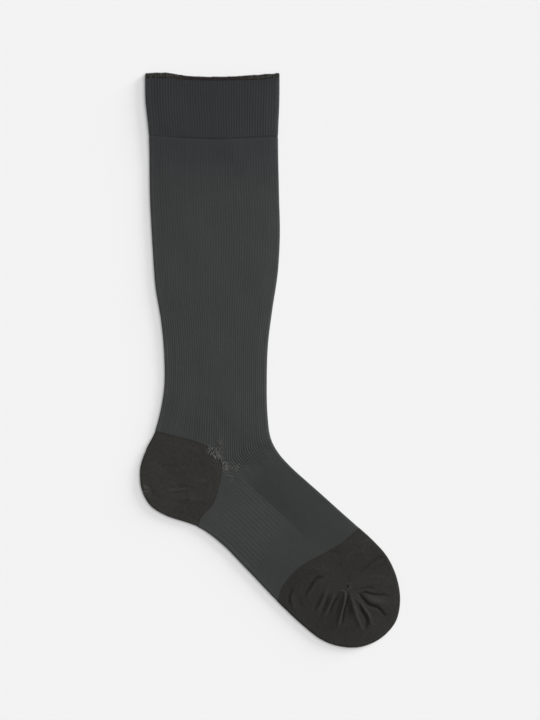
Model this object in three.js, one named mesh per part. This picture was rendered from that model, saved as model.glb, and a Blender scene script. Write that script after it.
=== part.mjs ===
// A knee-length compression stocking with a closed toe, laid flat on its side.
//
// Millimetres, +Z up. The origin is the centre of the outline, on the surface that the stocking lies on.
// +Y runs up the leg to the cuff, and +X points to the shin. The stocking is one flattened tube: an
// upper layer, a fold down the shin, an under layer and a fold up the calf. Each piece is a closed wall
// with an outer skin, a plain inner skin and rims. Ribs and gathers are raised in the outer skin of the
// upper layer, and the under layer is flat, because it rests.

import * as THREE from 'three';

const { lerp, smoothstep } = THREE.MathUtils;

// Cloth, in millimetres
const SEAM_GAP = 0.3;
const KNIT_WALL = 1.2;
const KNIT_HEIGHT = 3.3;
const CUFF_WALL = 1.8;
const CUFF_HEIGHT = 4.4;
const CUFF_TAPER = 26;

// The turned edge of the cuff: its depth and wall, how far its upper layer sits below the under layer,
// how far its picots stand up and how much lower its outermost row is
const TRIM_DEPTH = 2.3;
const TRIM_WALL = 1.5;
const TRIM_ROUNDING = 0.5;
const MOUTH_DROP = 0.7;
const PICOT_RISE = 0.5;
const SEAM_SAG = 2.1;

// Ribs: how many cross the upper layer, how many of them end at the heel, and how high they stand
const RIBS = 50;
const HEEL_RIBS = 28;
const RIB_RISE = 0.35;
const BAND_RIB_RISE = 0.4;
const BAND_RIB_SHARPNESS = 3;
const HEEL_SHARE = HEEL_RIBS / RIBS;
const STEEP_WEIGHT = 0.35;
const RIB_HOLD = 4;

// Shares of the cuff's, the leg's and the foot's length where ribs begin and fade
const CUFF_PINCH = 0.08;
const SEAM_PINCH = 0.02;
const RIBS_FADE = 0.22;
const BAND_START = 0.13;
const BAND_END_AT_SOLE = 0.69;
const BAND_END_AT_INSTEP = 0.56;
const BAND_BLUR = 0.06;

// Knitted pouches: how far the heel and the toe stand above the knit round them, and the closing knot
const HEEL_RISE = 0.9;
const TOE_RISE = 1.0;
const TOE_INNER_RISE = 0.5;
const TOE_EDGE_FADE = 0.1;
const KNOT = new THREE.Vector2(64.2, -187.8);
const KNOT_RADIUS = 2.2;
const KNOT_RISE = 0.6;

// Facets
const FOLD_STEPS = 4;
const INNER_FOLD_STEPS = 2;
const PLAIN_COLUMNS = RIBS / 2;
const HEEL_COLUMNS = HEEL_RIBS / 2;
const HEEL_ROWS = 12;
const CURVE_STEPS = 120;
const TRIM_ROWS = [0, 0.4, 1];
const CUFF_ROWS = [0, 0.33, 0.67, 1];
const LEG_ROWS = [0, 0.02, 0.05, 0.1, 0.2, 0.31, 0.42, 0.53, 0.64, 0.75, 0.86, 0.94, 1];
const FOOT_ROWS = [0, 0.06, 0.14, 0.24, 0.38, 0.52, 0.66, 0.83, 1];
const TOE_ROWS = [1, 0.86, 0.7, 0.54, 0.39, 0.26, 0.15, 0.07, 0.025];
const TOE_PLAIN_ROWS = [1, 0.55, 0.1];
const TOE_LINE_COLUMNS = 24;
const TOE_RIM_COLUMNS = 72;
const TOE_COARSENING = 2;
const GATHER_STEPS = 12;
const GATHER_TAPER = 0.06;
const ROUNDING = 1e-6;

// The two edges of the flat outline, section by section down the leg and out along the foot
const SECTIONS = [
  { name: 'top edge', calfX: -103.5, calfY: 237.5, shinX: 8.0, shinY: 237.5 },
  { name: 'cuff', calfX: -103.2, calfY: 216.0, shinX: 7.8, shinY: 214.0 },
  { name: 'cuff seam', calfX: -100.4, calfY: 186.2, shinX: 6.8, shinY: 186.2 },
  { name: 'upper calf', calfX: -99.6, calfY: 137.0, shinX: 7.6, shinY: 137.0 },
  { name: 'calf', calfX: -97.3, calfY: 93.0, shinX: 8.3, shinY: 104.0 },
  { name: 'lower calf', calfX: -94.8, calfY: 60.0, shinX: 6.5, shinY: 72.0 },
  { name: 'shin', calfX: -90.6, calfY: 35.0, shinX: 2.1, shinY: 42.5 },
  { name: 'ankle', calfX: -87.8, calfY: 7.0, shinX: -1.6, shinY: 13.0 },
  { name: 'narrow ankle', calfX: -87.8, calfY: -24.0, shinX: -2.6, shinY: -22.0 },
  { name: 'heel top', calfX: -95.1, calfY: -58.4, shinX: -1.8, shinY: -48.0 },
  { name: 'bend', calfX: -102.5, calfY: -73.5, shinX: 0.7, shinY: -65.0 },
  { name: 'heel back', calfX: -107.8, calfY: -90.0, shinX: 7.0, shinY: -76.8 },
  { name: 'heel corner', calfX: -106.3, calfY: -107.5, shinX: 17.6, shinY: -88.7 },
  { name: 'under the heel', calfX: -99.3, calfY: -120.8, shinX: 29.5, shinY: -99.5 },
  { name: 'heel sole', calfX: -86.6, calfY: -129.0, shinX: 41.4, shinY: -110.0 },
  { name: 'heel end', calfX: -60.0, calfY: -138.4, shinX: 51.4, shinY: -119.0 },
  { name: 'arch', calfX: -40.5, calfY: -152.2, shinX: 60.4, shinY: -127.1 },
  { name: 'ball', calfX: -20.0, calfY: -172.9, shinX: 67.3, shinY: -133.2 },
  { name: 'toe line', calfX: 5.5, calfY: -199.5, shinX: 73.7, shinY: -138.9 },
  { name: 'toe', calfX: 27.5, calfY: -220.3, shinX: 85.6, shinY: -149.8 },
  { name: 'low toe', calfX: 43.0, calfY: -232.1, shinX: 96.8, shinY: -162.5 },
  { name: 'toe base', calfX: 57.0, calfY: -237.3, shinX: 104.7, shinY: -179.0 },
  { name: 'toe front', calfX: 73.0, calfY: -238.3, shinX: 108.0, shinY: -198.0 },
  { name: 'toe tip', calfX: 88.0, calfY: -233.3, shinX: 105.2, shinY: -215.0 },
  { name: 'toe end', calfX: 98.3, calfY: -225.2, shinX: 98.3, shinY: -225.2 },
];

// The mouth of the under layer, by the share of the way from the calf to the shin
const MOUTH = [
  { across: 0.07, y: 238.3 },
  { across: 0.17, y: 237.9 },
  { across: 0.26, y: 236.2 },
  { across: 0.38, y: 235.1 },
  { across: 0.62, y: 235.0 },
  { across: 0.82, y: 236.3 },
];

// The heel line, from the back of the ankle round the instep corner to the sole
const HEEL_LINE = [
  { name: 'behind the ankle', x: -78.8, y: -62.8 },
  { name: 'over the heel', x: -59.7, y: -68.2 },
  { name: 'above the corner', x: -47.2, y: -75.0 },
  { name: 'instep corner', x: -39.8, y: -87.0 },
  { name: 'below the corner', x: -41.6, y: -101.1 },
  { name: 'over the sole', x: -47.2, y: -119.4 },
  { name: 'at the sole', x: -57.0, y: -131.0 },
];
const HEEL_LINE_SPANS = HEEL_LINE.length + 1;
const CORNER_STOP = 1 + HEEL_LINE.findIndex((row) => row.name === 'instep corner');
const INSTEP_CORNER = CORNER_STOP / HEEL_LINE_SPANS;

// The toe line, from the sole to the instep
const TOE_LINE = [
  { name: 'over the sole', x: 9.5, y: -188.7 },
  { name: 'sole side', x: 24.4, y: -171.5 },
  { name: 'middle', x: 47.4, y: -158.7 },
  { name: 'instep side', x: 61.5, y: -149.5 },
];

// The gathers and creases of the toe: each runs from one end through its middle to the other, and its
// rise is negative for a crease
const GATHERS = [
  { name: 'long ridge', from: [62.7, -192], mid: [61.0, -202], to: [57.7, -218], width: 2.0, rise: 0.9 },
  { name: 'crease by it', from: [64.4, -195], mid: [61.5, -206], to: [60.2, -218], width: 1.8, rise: -0.8 },
  { name: 'lower ridge', from: [65.7, -192], mid: [69.5, -207], to: [77.1, -223], width: 2.2, rise: 0.8 },
  { name: 'lower crease', from: [73.0, -203], mid: [77.8, -212], to: [79.3, -222], width: 1.8, rise: -0.8 },
  { name: 'tip ridge', from: [74.0, -196], mid: [79.5, -205], to: [83.1, -216], width: 2.2, rise: 0.6 },
  { name: 'deep crease', from: [72.0, -194], mid: [81.5, -202], to: [94.5, -211], width: 2.0, rise: -1.0 },
  { name: 'tip crease', from: [72.0, -191], mid: [83.0, -193], to: [103.0, -196], width: 1.8, rise: -0.7 },
  { name: 'fine crease', from: [70.0, -189], mid: [80.0, -189], to: [88.0, -190], width: 1.4, rise: -0.4 },
  { name: 'sole ridge', from: [47.5, -190], mid: [43.5, -199], to: [39.3, -209], width: 2.0, rise: 0.6 },
  { name: 'sole crease', from: [49.5, -193], mid: [46.0, -200], to: [43.5, -206], width: 1.5, rise: -0.5 },
  { name: 'short ridge', from: [53.0, -195], mid: [48.5, -204], to: [44.7, -212], width: 1.8, rise: 0.6 },
  { name: 'short crease', from: [57.0, -193], mid: [54.0, -198], to: [51.5, -204], width: 1.5, rise: -0.6 },
  { name: 'cross crease', from: [39.8, -180], mid: [32.0, -188], to: [24.2, -205], width: 2.0, rise: -0.6 },
  { name: 'instep crease', from: [69.0, -179], mid: [78.0, -171], to: [92.2, -164], width: 2.0, rise: -0.4 },
];

const YARNS = {
  charcoal: { color: 0x3b3d3d, roughness: 0.95, metalness: 0 },
  cuff: { color: 0x353637, roughness: 0.95, metalness: 0 },
  brown: { color: 0x312d2a, roughness: 0.9, metalness: 0 },
};

// A path in the plane, walked by the share of its length. `out` is the direction to its right. Steps up
// and down count `steepWeight` times, so that fewer ribs end where the path runs along them.
class Route {
  constructor(stops, steepWeight = 1) {
    this.stops = stops;
    this.lengths = [0];
    for (let i = 1; i < stops.length; i += 1) {
      const step = stops[i].point.clone().sub(stops[i - 1].point);
      this.lengths.push(this.lengths[i - 1] + Math.hypot(step.x, steepWeight * step.y));
    }
  }

  at(share) {
    const target = share * this.lengths.at(-1);
    const next = Math.max(1, this.lengths.findIndex((length) => length >= target - ROUNDING));
    const [from, to] = [this.stops[next - 1], this.stops[next]];
    const within = (target - this.lengths[next - 1]) / (this.lengths[next] - this.lengths[next - 1]);
    return {
      point: from.point.clone().lerp(to.point, within),
      out: from.out.clone().lerp(to.out, within).normalize(),
    };
  }
}

// A place on a curve, moved out to its right by `shift`
function stopAt(curve, t, shift) {
  const { x, y } = curve.getPoint(t);
  const tangent = curve.getTangent(t);
  const out = new THREE.Vector2(tangent.y, -tangent.x);
  const point = new THREE.Vector2(x, y);
  return { point: point.addScaledVector(out, shift(point)), out };
}

// The stretch of a curve between two of its parameters
function trace(curve, from, to, shift, steepWeight) {
  const stops = [];
  for (let i = 0; i <= CURVE_STEPS; i += 1) {
    stops.push(stopAt(curve, lerp(from, to, i / CURVE_STEPS), shift));
  }
  return new Route(stops, steepWeight);
}

function smoothCurve(points) {
  return new THREE.CatmullRomCurve3(points, false, 'centripetal');
}

// The height of the two layers together: the cuff is double cloth, and the leg thins down below it
const SEAM_Y = SECTIONS.find((row) => row.name === 'cuff seam').calfY;

function clothHeight(y) {
  return lerp(CUFF_HEIGHT, KNIT_HEIGHT, smoothstep(SEAM_Y - y, 0, CUFF_TAPER));
}

// The outline is one curve, down the calf, round the toe and up the shin
const calfPoints = SECTIONS.map((row) => new THREE.Vector3(row.calfX, row.calfY, 0));
const shinPoints = SECTIONS.slice(0, -1).map((row) => new THREE.Vector3(row.shinX, row.shinY, 0));
const OUTLINE = smoothCurve([...calfPoints, ...shinPoints.reverse()]);
const OUTLINE_SPANS = 2 * (SECTIONS.length - 1);

function calfShare(name) {
  return SECTIONS.findIndex((row) => row.name === name) / OUTLINE_SPANS;
}

function shinShare(name) {
  return 1 - calfShare(name);
}

// Where the flat cloth ends at the outline: the fold bulges out from there by its own radius
function foldInset(point) {
  return -clothHeight(point.y) / 2;
}

function flatEdge(from, to) {
  return trace(OUTLINE, from, to, foldInset);
}

function flatPoint(share) {
  const { point } = stopAt(OUTLINE, share, foldInset);
  return new THREE.Vector3(point.x, point.y, 0);
}

// The lines that cross the tube, each from the calf or sole side to the shin or instep side
function mouthCurve(drop) {
  const from = flatPoint(calfShare('top edge'));
  const to = flatPoint(shinShare('top edge'));
  const rows = MOUTH.map((row) => new THREE.Vector3(lerp(from.x, to.x, row.across), row.y - drop, 0));
  return smoothCurve([from, ...rows, to]);
}

function seamCurve() {
  const from = flatPoint(calfShare('cuff seam'));
  const to = flatPoint(shinShare('cuff seam'));
  const middle = new THREE.Vector3((from.x + to.x) / 2, from.y - SEAM_SAG, 0);
  return smoothCurve([from, middle, to]);
}

function tableCurve(from, rows, to) {
  return smoothCurve([from, ...rows.map((row) => new THREE.Vector3(row.x, row.y, 0)), to]);
}

const SEAM_CURVE = seamCurve();
const HEEL_CURVE = tableCurve(flatPoint(calfShare('heel top')), HEEL_LINE, flatPoint(calfShare('heel end')));
const TOE_CURVE = tableCurve(flatPoint(calfShare('toe line')), TOE_LINE, flatPoint(shinShare('toe line')));

// A crossing line as a function of the share of the way across, half a seam's gap to one side
function crossing(curve, side) {
  const route = trace(curve, 0, 1, () => (side * SEAM_GAP) / 2);
  return (across) => route.at(across).point;
}

// A point of the patch between four edges. It lies on the straight line across from the calf edge to the
// shin edge, bent like the top and the bottom line. A line's bend dies away by the power `hold`.
function patchPoint({ calf, shin, top, bottom, hold }, across, along) {
  const straight = (share) => calf.at(share).point.lerp(shin.at(share).point, across);
  const topBend = top(across).sub(straight(0));
  const bottomBend = bottom(across).sub(straight(1));
  return straight(along)
    .addScaledVector(topBend, (1 - along) ** hold)
    .addScaledVector(bottomBend, along ** hold);
}

// One closed wall. A corner keeps its place in `around`, its share of the way round its ring.
class Cloth {
  constructor() {
    this.positions = [];
    this.faces = [];
  }

  corner(x, y, z, around) {
    this.positions.push(x, y, z);
    return { id: this.positions.length / 3 - 1, around };
  }

  face(a, b, c, flip) {
    if (a.id !== b.id && b.id !== c.id && c.id !== a.id) {
      this.faces.push(a.id, ...(flip ? [c.id, b.id] : [b.id, c.id]));
    }
  }

  // Fills the strip between two rows of corners, which may differ in number
  join(first, second, { closed = true, flip = false } = {}) {
    const rowA = closed ? [...first, { ...first[0], around: first[0].around + 1 }] : first;
    const rowB = closed ? [...second, { ...second[0], around: second[0].around + 1 }] : second;
    let a = 0;
    let b = 0;
    while (a < rowA.length - 1 || b < rowB.length - 1) {
      const endA = a === rowA.length - 1;
      const endB = b === rowB.length - 1;
      if (endA || (!endB && rowB[b + 1].around <= rowA[a + 1].around + ROUNDING)) {
        this.face(rowA[a], rowB[b], rowB[b + 1], flip);
        b += 1;
      } else {
        this.face(rowA[a], rowB[b], rowA[a + 1], flip);
        a += 1;
      }
    }
  }

  joinAll(rows, options) {
    for (let i = 1; i < rows.length; i += 1) {
      this.join(rows[i - 1], rows[i], options);
    }
  }

  mesh(name, yarn) {
    const geometry = new THREE.BufferGeometry();
    geometry.setAttribute('position', new THREE.Float32BufferAttribute(this.positions, 3));
    geometry.setIndex(this.faces);
    geometry.computeVertexNormals();
    const mesh = new THREE.Mesh(geometry, new THREE.MeshStandardMaterial(yarn));
    mesh.name = name;
    return mesh;
  }
}

// The columns round a flattened tube: across the upper layer, down the shin fold, back across the under
// layer and up the calf fold. `turn` is 0 on the upper layer and half a turn on the under layer.
function columnsRound(upper, under, fold) {
  const columns = [];
  for (let i = 0; i <= upper; i += 1) {
    columns.push({ across: i / upper, turn: 0, around: i / upper / 4 });
  }
  for (let i = 1; i < fold; i += 1) {
    columns.push({ across: 1, turn: (Math.PI * i) / fold, around: (1 + i / fold) / 4 });
  }
  for (let i = 0; i <= under; i += 1) {
    columns.push({ across: (under - i) / under, turn: Math.PI, around: (2 + i / under) / 4 });
  }
  for (let i = 1; i < fold; i += 1) {
    columns.push({ across: 0, turn: Math.PI * (1 - i / fold), around: (3 + i / fold) / 4 });
  }
  return columns;
}

// The columns round the heel: from the instep corner under the heel, up the calf fold and back to it
function columnsOfHeel(flat, fold) {
  const columns = [];
  for (let i = 0; i <= flat; i += 1) {
    columns.push({ across: (flat - i) / flat, turn: Math.PI, around: i / flat / 3 });
  }
  for (let i = 1; i < fold; i += 1) {
    columns.push({ across: 0, turn: Math.PI * (1 - i / fold), around: (1 + i / fold) / 3 });
  }
  for (let i = 0; i <= flat; i += 1) {
    columns.push({ across: i / flat, turn: 0, around: (2 + i / flat) / 3 });
  }
  return columns;
}

// A corner of the wall where the cloth lies at `flat`. `out` is the way that its fold bulges, and
// `inset` is 0 on the outer skin and the wall's thickness on the inner skin.
function wallCorner(cloth, { flat, out, turn, around, height, inset, raised }) {
  const radius = height / 2 - inset;
  const bulge = radius * Math.sin(turn);
  const z = height / 2 + radius * Math.cos(turn) + raised;
  return cloth.corner(flat.x + out.x * bulge, flat.y + out.y * bulge, z, around);
}

// A ring of corners. `lay` says where it lies, and `known` holds corners that it shares.
function ring(cloth, columns, lay, inset, known = []) {
  return columns.map((column, i) => {
    if (known[i]) {
      return known[i];
    }
    const { across, turn, around } = column;
    const flat = lay.place(across, turn);
    const out = across < 0.5 ? lay.calfOut : lay.shinOut;
    const height = clothHeight(flat.y) + lay.rise(across);
    const raised = turn === 0 && inset === 0 ? lay.relief(across) : 0;
    return wallCorner(cloth, { flat, out, turn, around, height, inset, raised });
  });
}

const OUTER_COLUMNS = columnsRound(2 * RIBS, PLAIN_COLUMNS, FOLD_STEPS);
const INNER_COLUMNS = columnsRound(PLAIN_COLUMNS, PLAIN_COLUMNS, INNER_FOLD_STEPS);

function none() {
  return 0;
}

// How far a rib stands out, across the ribs of the leg and across the paired ribs of the arch band
function ribRelief(across) {
  return (RIB_RISE * (1 - Math.cos(2 * Math.PI * RIBS * across))) / 2;
}

function bandRibRelief(across) {
  return BAND_RIB_RISE * Math.sin((Math.PI * RIBS * across) / 2) ** (2 * BAND_RIB_SHARPNESS);
}

// The ring that lies at one share of the way along a patch
function layOf(patch, along, relief, rise = none) {
  return {
    place: (across) => patchPoint(patch, across, along),
    calfOut: patch.calf.at(along).out,
    shinOut: patch.shin.at(along).out,
    rise: (across) => rise(across, along),
    relief: (across) => relief(across, along),
  };
}

// The cuff, from its mouth down to its seam: the upper layer's mouth is a little lower
function cuffPatch(drop) {
  const mouth = trace(mouthCurve(drop), 0, 1, none);
  const seam = trace(SEAM_CURVE, 0, 1, none);
  return {
    calf: flatEdge(calfShare('top edge'), calfShare('cuff seam')),
    shin: flatEdge(shinShare('top edge'), shinShare('cuff seam')),
    top: (across) => mouth.at(across).point,
    bottom: (across) => seam.at(across).point,
    hold: 1,
  };
}

const UPPER_CUFF = cuffPatch(MOUTH_DROP);
const UNDER_CUFF = cuffPatch(0);
const CUFF_DEPTH = SECTIONS[0].calfY - SEAM_Y;

// A band of the cuff between two depths below the mouth. `lift` moves its upper layer's mouth up.
function cuffBand({ from, to, rows, wall, relief, rise = none, lift = none }) {
  const cloth = new Cloth();
  const lays = rows.map((row) => {
    const along = lerp(from, to, row) / CUFF_DEPTH;
    const place = (across, turn) => {
      const point = patchPoint(turn < Math.PI / 2 ? UPPER_CUFF : UNDER_CUFF, across, along);
      return turn === 0 ? point.setY(point.y + lift(across, row)) : point;
    };
    return { ...layOf(UPPER_CUFF, along, relief, () => rise(row)), place };
  });
  const outer = lays.map((lay) => ring(cloth, OUTER_COLUMNS, lay, 0));
  const inner = lays.map((lay) => ring(cloth, INNER_COLUMNS, lay, wall));
  cloth.joinAll(outer);
  cloth.joinAll(inner, { flip: true });
  cloth.join(inner[0], outer[0]);
  cloth.join(outer.at(-1), inner.at(-1));
  return cloth;
}

function topEdge() {
  return cuffBand({
    from: 0,
    to: TRIM_DEPTH,
    rows: TRIM_ROWS,
    wall: TRIM_WALL,
    relief: none,
    rise: (row) => (row === 0 ? -TRIM_ROUNDING : 0),
    lift: (across, row) => (row === 0 ? (PICOT_RISE * ribRelief(across)) / RIB_RISE : 0),
  });
}

function welt() {
  return cuffBand({
    from: TRIM_DEPTH + SEAM_GAP,
    to: CUFF_DEPTH - SEAM_GAP / 2,
    rows: CUFF_ROWS,
    wall: CUFF_WALL,
    relief: (across, along) => ribRelief(across) * smoothstep(1 - along, 0, CUFF_PINCH),
  });
}

// The heel line in two halves, from the calf and from the sole to the instep corner
function heelLines(side) {
  const shift = () => (side * SEAM_GAP) / 2;
  return {
    upper: trace(HEEL_CURVE, 0, INSTEP_CORNER, shift, STEEP_WEIGHT),
    lower: trace(HEEL_CURVE, 1, INSTEP_CORNER, shift),
  };
}

function legRelief(across, along) {
  return ribRelief(across) * smoothstep(along, 0, SEAM_PINCH);
}

// Round the bend the leg's ribs fade on the instep, and the paired ribs of the arch band take the sole
function footRelief(across, along) {
  if (across > HEEL_SHARE) {
    return ribRelief(across) * (1 - smoothstep(along, 0, RIBS_FADE));
  }
  const end = lerp(BAND_END_AT_SOLE, BAND_END_AT_INSTEP, across / HEEL_SHARE);
  const begun = smoothstep(along, BAND_START - BAND_BLUR, BAND_START + BAND_BLUR);
  const ended = smoothstep(along, end - BAND_BLUR, end + BAND_BLUR);
  return bandRibRelief(across) * begun * (1 - ended);
}

// The part of a ring that borders the heel, in order from the under layer's corner to the upper one's
function heelHalf(corners) {
  const firstAround = (3 - HEEL_SHARE) / 4 - ROUNDING;
  const lastAround = HEEL_SHARE / 4 + ROUNDING;
  const before = corners.filter((corner) => corner.around >= firstAround);
  const after = corners.filter((corner) => corner.around <= lastAround);
  return [...before, ...after.map((corner) => ({ ...corner, around: corner.around + 1 }))];
}

// The part of a ring that the leg and the foot share, from the instep corner round the shin fold
function instepHalf(corners) {
  const firstAround = HEEL_SHARE / 4 - ROUNDING;
  const lastAround = (3 - HEEL_SHARE) / 4 + ROUNDING;
  return corners.map((corner) => {
    const shared = corner.around >= firstAround && corner.around <= lastAround;
    return shared ? corner : undefined;
  });
}

function legAndFoot() {
  const cloth = new Cloth();
  const heelLine = heelLines(-1);
  const corner = heelLine.upper.at(1).point;
  const bend = stopAt(OUTLINE, shinShare('bend'), foldInset).point;
  const meeting = (line) => (across) => {
    if (across <= HEEL_SHARE) {
      return line.at(across / HEEL_SHARE).point;
    }
    return corner.clone().lerp(bend, (across - HEEL_SHARE) / (1 - HEEL_SHARE));
  };
  const leg = {
    calf: flatEdge(calfShare('cuff seam'), calfShare('heel top')),
    shin: flatEdge(shinShare('cuff seam'), shinShare('bend')),
    top: crossing(SEAM_CURVE, 1),
    bottom: meeting(heelLine.upper),
    hold: RIB_HOLD,
  };
  const foot = {
    calf: flatEdge(calfShare('heel end'), calfShare('toe line')),
    shin: flatEdge(shinShare('bend'), shinShare('toe line')),
    top: meeting(heelLine.lower),
    bottom: crossing(TOE_CURVE, -1),
    hold: RIB_HOLD,
  };
  const knit = (columns, inset) => {
    const legRings = LEG_ROWS.map((along) => ring(cloth, columns, layOf(leg, along, legRelief), inset));
    const shared = instepHalf(legRings.at(-1));
    const footRings = FOOT_ROWS.map((along, row) => {
      const known = row === 0 ? shared : [];
      return ring(cloth, columns, layOf(foot, along, footRelief), inset, known);
    });
    return { legRings, footRings };
  };
  const outer = knit(OUTER_COLUMNS, 0);
  const inner = knit(INNER_COLUMNS, KNIT_WALL);
  for (const stretch of ['legRings', 'footRings']) {
    cloth.joinAll(outer[stretch]);
    cloth.joinAll(inner[stretch], { flip: true });
  }
  const [outerLegEnd, innerLegEnd] = [outer.legRings.at(-1), inner.legRings.at(-1)];
  cloth.join(inner.legRings[0], outer.legRings[0]);
  cloth.join(outer.footRings.at(-1), inner.footRings.at(-1));
  cloth.join(heelHalf(outerLegEnd), heelHalf(innerLegEnd), { closed: false });
  cloth.join(heelHalf(inner.footRings[0]), heelHalf(outer.footRings[0]), { closed: false });
  return cloth;
}

// The heel pouch: its rows fan out from the instep corner, where they all begin and end
function heel() {
  const cloth = new Cloth();
  const lines = heelLines(1);
  const corner = lines.upper.at(1);
  const pouch = {
    calf: flatEdge(calfShare('heel top'), calfShare('heel end')),
    shin: { at: () => corner },
    top: (across) => lines.upper.at(across).point,
    bottom: (across) => lines.lower.at(across).point,
    hold: 1,
  };
  const rise = (across, along) => HEEL_RISE * Math.sin(Math.PI * across) * Math.sin(Math.PI * along);
  const rows = (columns, inset) => {
    const rings = [];
    for (let i = 0; i <= HEEL_ROWS; i += 1) {
      const known = [];
      if (i > 0) {
        known[0] = rings[0][0];
        known[columns.length - 1] = rings[0].at(-1);
      }
      rings.push(ring(cloth, columns, layOf(pouch, i / HEEL_ROWS, none, rise), inset, known));
    }
    return rings;
  };
  const outer = rows(columnsOfHeel(HEEL_COLUMNS, FOLD_STEPS), 0);
  const inner = rows(columnsOfHeel(HEEL_COLUMNS, INNER_FOLD_STEPS), KNIT_WALL);
  cloth.joinAll(outer, { closed: false });
  cloth.joinAll(inner, { closed: false, flip: true });
  cloth.join(inner[0], outer[0], { closed: false });
  cloth.join(outer.at(-1), inner.at(-1), { closed: false });
  return cloth;
}

// The gathers as rows of points, to measure how far a place lies from each
const GATHER_LINES = GATHERS.map(({ from, mid, to, width, rise }) => {
  const ends = [from, mid, to].map(([x, y]) => new THREE.Vector2(x, y));
  return { points: new THREE.QuadraticBezierCurve(...ends).getPoints(GATHER_STEPS), width, rise };
});

// How far the gathers and the knot stand out at a place of the toe: each fades away from its line and
// towards its ends
function gatherRelief(place) {
  const knot = KNOT_RISE * Math.exp(-((place.distanceTo(KNOT) / KNOT_RADIUS) ** 2));
  return GATHER_LINES.reduce((sum, { points, width, rise }) => {
    const distances = points.map((point) => point.distanceTo(place));
    const nearest = Math.min(...distances);
    const share = distances.indexOf(nearest) / GATHER_STEPS;
    const taper = Math.sqrt(Math.sin(Math.PI * lerp(GATHER_TAPER, 1 - GATHER_TAPER, share)));
    return sum + rise * taper * Math.exp(-((nearest / width) ** 2));
  }, knot);
}

// The places round the toe: along the toe line from the sole to the instep, and then round the outline
function toeRound(lineColumns, rimColumns) {
  const line = trace(TOE_CURVE, 0, 1, () => SEAM_GAP / 2);
  const rim = flatEdge(shinShare('toe line'), calfShare('toe line'));
  const count = lineColumns + rimColumns;
  const places = [];
  for (let i = 0; i <= lineColumns; i += 1) {
    const end = i === 0 ? rim.at(1) : rim.at(0);
    places.push({ point: line.at(i / lineColumns).point, out: end.out, around: i / count });
  }
  for (let i = 1; i < rimColumns; i += 1) {
    places.push({ ...rim.at(i / rimColumns), around: (lineColumns + i) / count });
  }
  return places;
}

// One skin of the toe: rows that close in on the knot on the upper layer, the fold round the outline and
// a plain under layer. It returns the ring at the toe line, where the foot goes on.
function toeSkin(cloth, { lineColumns, rimColumns, rows, foldSteps, inset }) {
  const flip = inset > 0;
  const round = toeRound(lineColumns, rimColumns);
  const topRise = flip ? TOE_INNER_RISE : TOE_RISE;
  const topHeight = (flat, share) => {
    const away = smoothstep(1 - share, 0, TOE_EDGE_FADE);
    const raised = flip ? 0 : gatherRelief(flat) * away;
    return KNIT_HEIGHT + topRise * (1 - share ** 2) + raised;
  };
  const upperCorner = ({ point, around }, share) => {
    const flat = KNOT.clone().lerp(point, share);
    return cloth.corner(flat.x, flat.y, topHeight(flat, share) - inset, around);
  };
  const underCorner = ({ point, around }, share) => {
    const flat = KNOT.clone().lerp(point, share);
    return cloth.corner(flat.x, flat.y, inset, around);
  };
  const upper = rows.map((share) => round.map((place) => upperCorner(place, share)));
  const under = TOE_PLAIN_ROWS.map((share) => round.map((place) => underCorner(place, share)));
  cloth.joinAll(upper, { flip });
  cloth.join(upper.at(-1), [upperCorner({ point: KNOT, around: 0 }, 0)], { flip });
  cloth.joinAll(under, { flip: !flip });
  cloth.join(under.at(-1), [underCorner({ point: KNOT, around: 0 }, 0)], { flip: !flip });

  const folded = [...round.slice(lineColumns), { ...round[0], around: 1 }];
  const pick = (corners) => [...corners.slice(lineColumns), { ...corners[0], around: 1 }];
  const folds = [pick(upper[0])];
  for (let step = 1; step < foldSteps; step += 1) {
    const turn = (Math.PI * step) / foldSteps;
    folds.push(folded.map(({ point, out, around }) => wallCorner(
      cloth,
      { flat: point, out, turn, around, height: KNIT_HEIGHT, inset, raised: 0 },
    )));
  }
  folds.push(pick(under[0]));
  cloth.joinAll(folds.reverse(), { closed: false, flip });

  const across = (corners) => corners.slice(0, lineColumns + 1);
  const upTheFold = folds.slice(1, -1);
  const sides = [
    across(upper[0]),
    [...upTheFold].reverse().map((fold) => fold[0]),
    across(under[0]).reverse(),
    upTheFold.map((fold) => fold.at(-1)),
  ];
  const steps = [lineColumns, foldSteps, lineColumns, foldSteps];
  return sides.flatMap((side, quarter) => side.map((corner, i) => {
    const offset = quarter % 2 === 0 ? i : i + 1;
    return { ...corner, around: (quarter + offset / steps[quarter]) / 4 };
  }));
}

function toe() {
  const cloth = new Cloth();
  const outer = toeSkin(cloth, {
    lineColumns: TOE_LINE_COLUMNS,
    rimColumns: TOE_RIM_COLUMNS,
    rows: TOE_ROWS,
    foldSteps: FOLD_STEPS,
    inset: 0,
  });
  const inner = toeSkin(cloth, {
    lineColumns: TOE_LINE_COLUMNS / TOE_COARSENING,
    rimColumns: TOE_RIM_COLUMNS / TOE_COARSENING,
    rows: TOE_PLAIN_ROWS,
    foldSteps: INNER_FOLD_STEPS,
    inset: KNIT_WALL,
  });
  cloth.join(inner, outer);
  return cloth;
}

const stocking = new THREE.Group();
stocking.name = 'compression_stocking';
stocking.add(
  topEdge().mesh('top_edge', YARNS.brown),
  welt().mesh('welt', YARNS.cuff),
  legAndFoot().mesh('leg_and_foot', YARNS.charcoal),
  heel().mesh('heel', YARNS.brown),
  toe().mesh('toe', YARNS.brown),
);

export default stocking;
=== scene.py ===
"""A knee-length compression stocking with a closed toe, laid flat on its side.

The shapes are worked out in millimetres, in the frame's own axes: +Y runs up the leg to the cuff, +X
points to the shin and +Z is up from the surface that the stocking lies on. They become metres when a
mesh is made. The stocking is one flattened tube: an upper layer, a fold down the shin, an under layer
and a fold up the calf. Each piece is a closed wall of cloth with an outer and an inner skin.
"""

import logging
import math
from collections.abc import Callable
from dataclasses import dataclass, field
from enum import Enum

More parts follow.
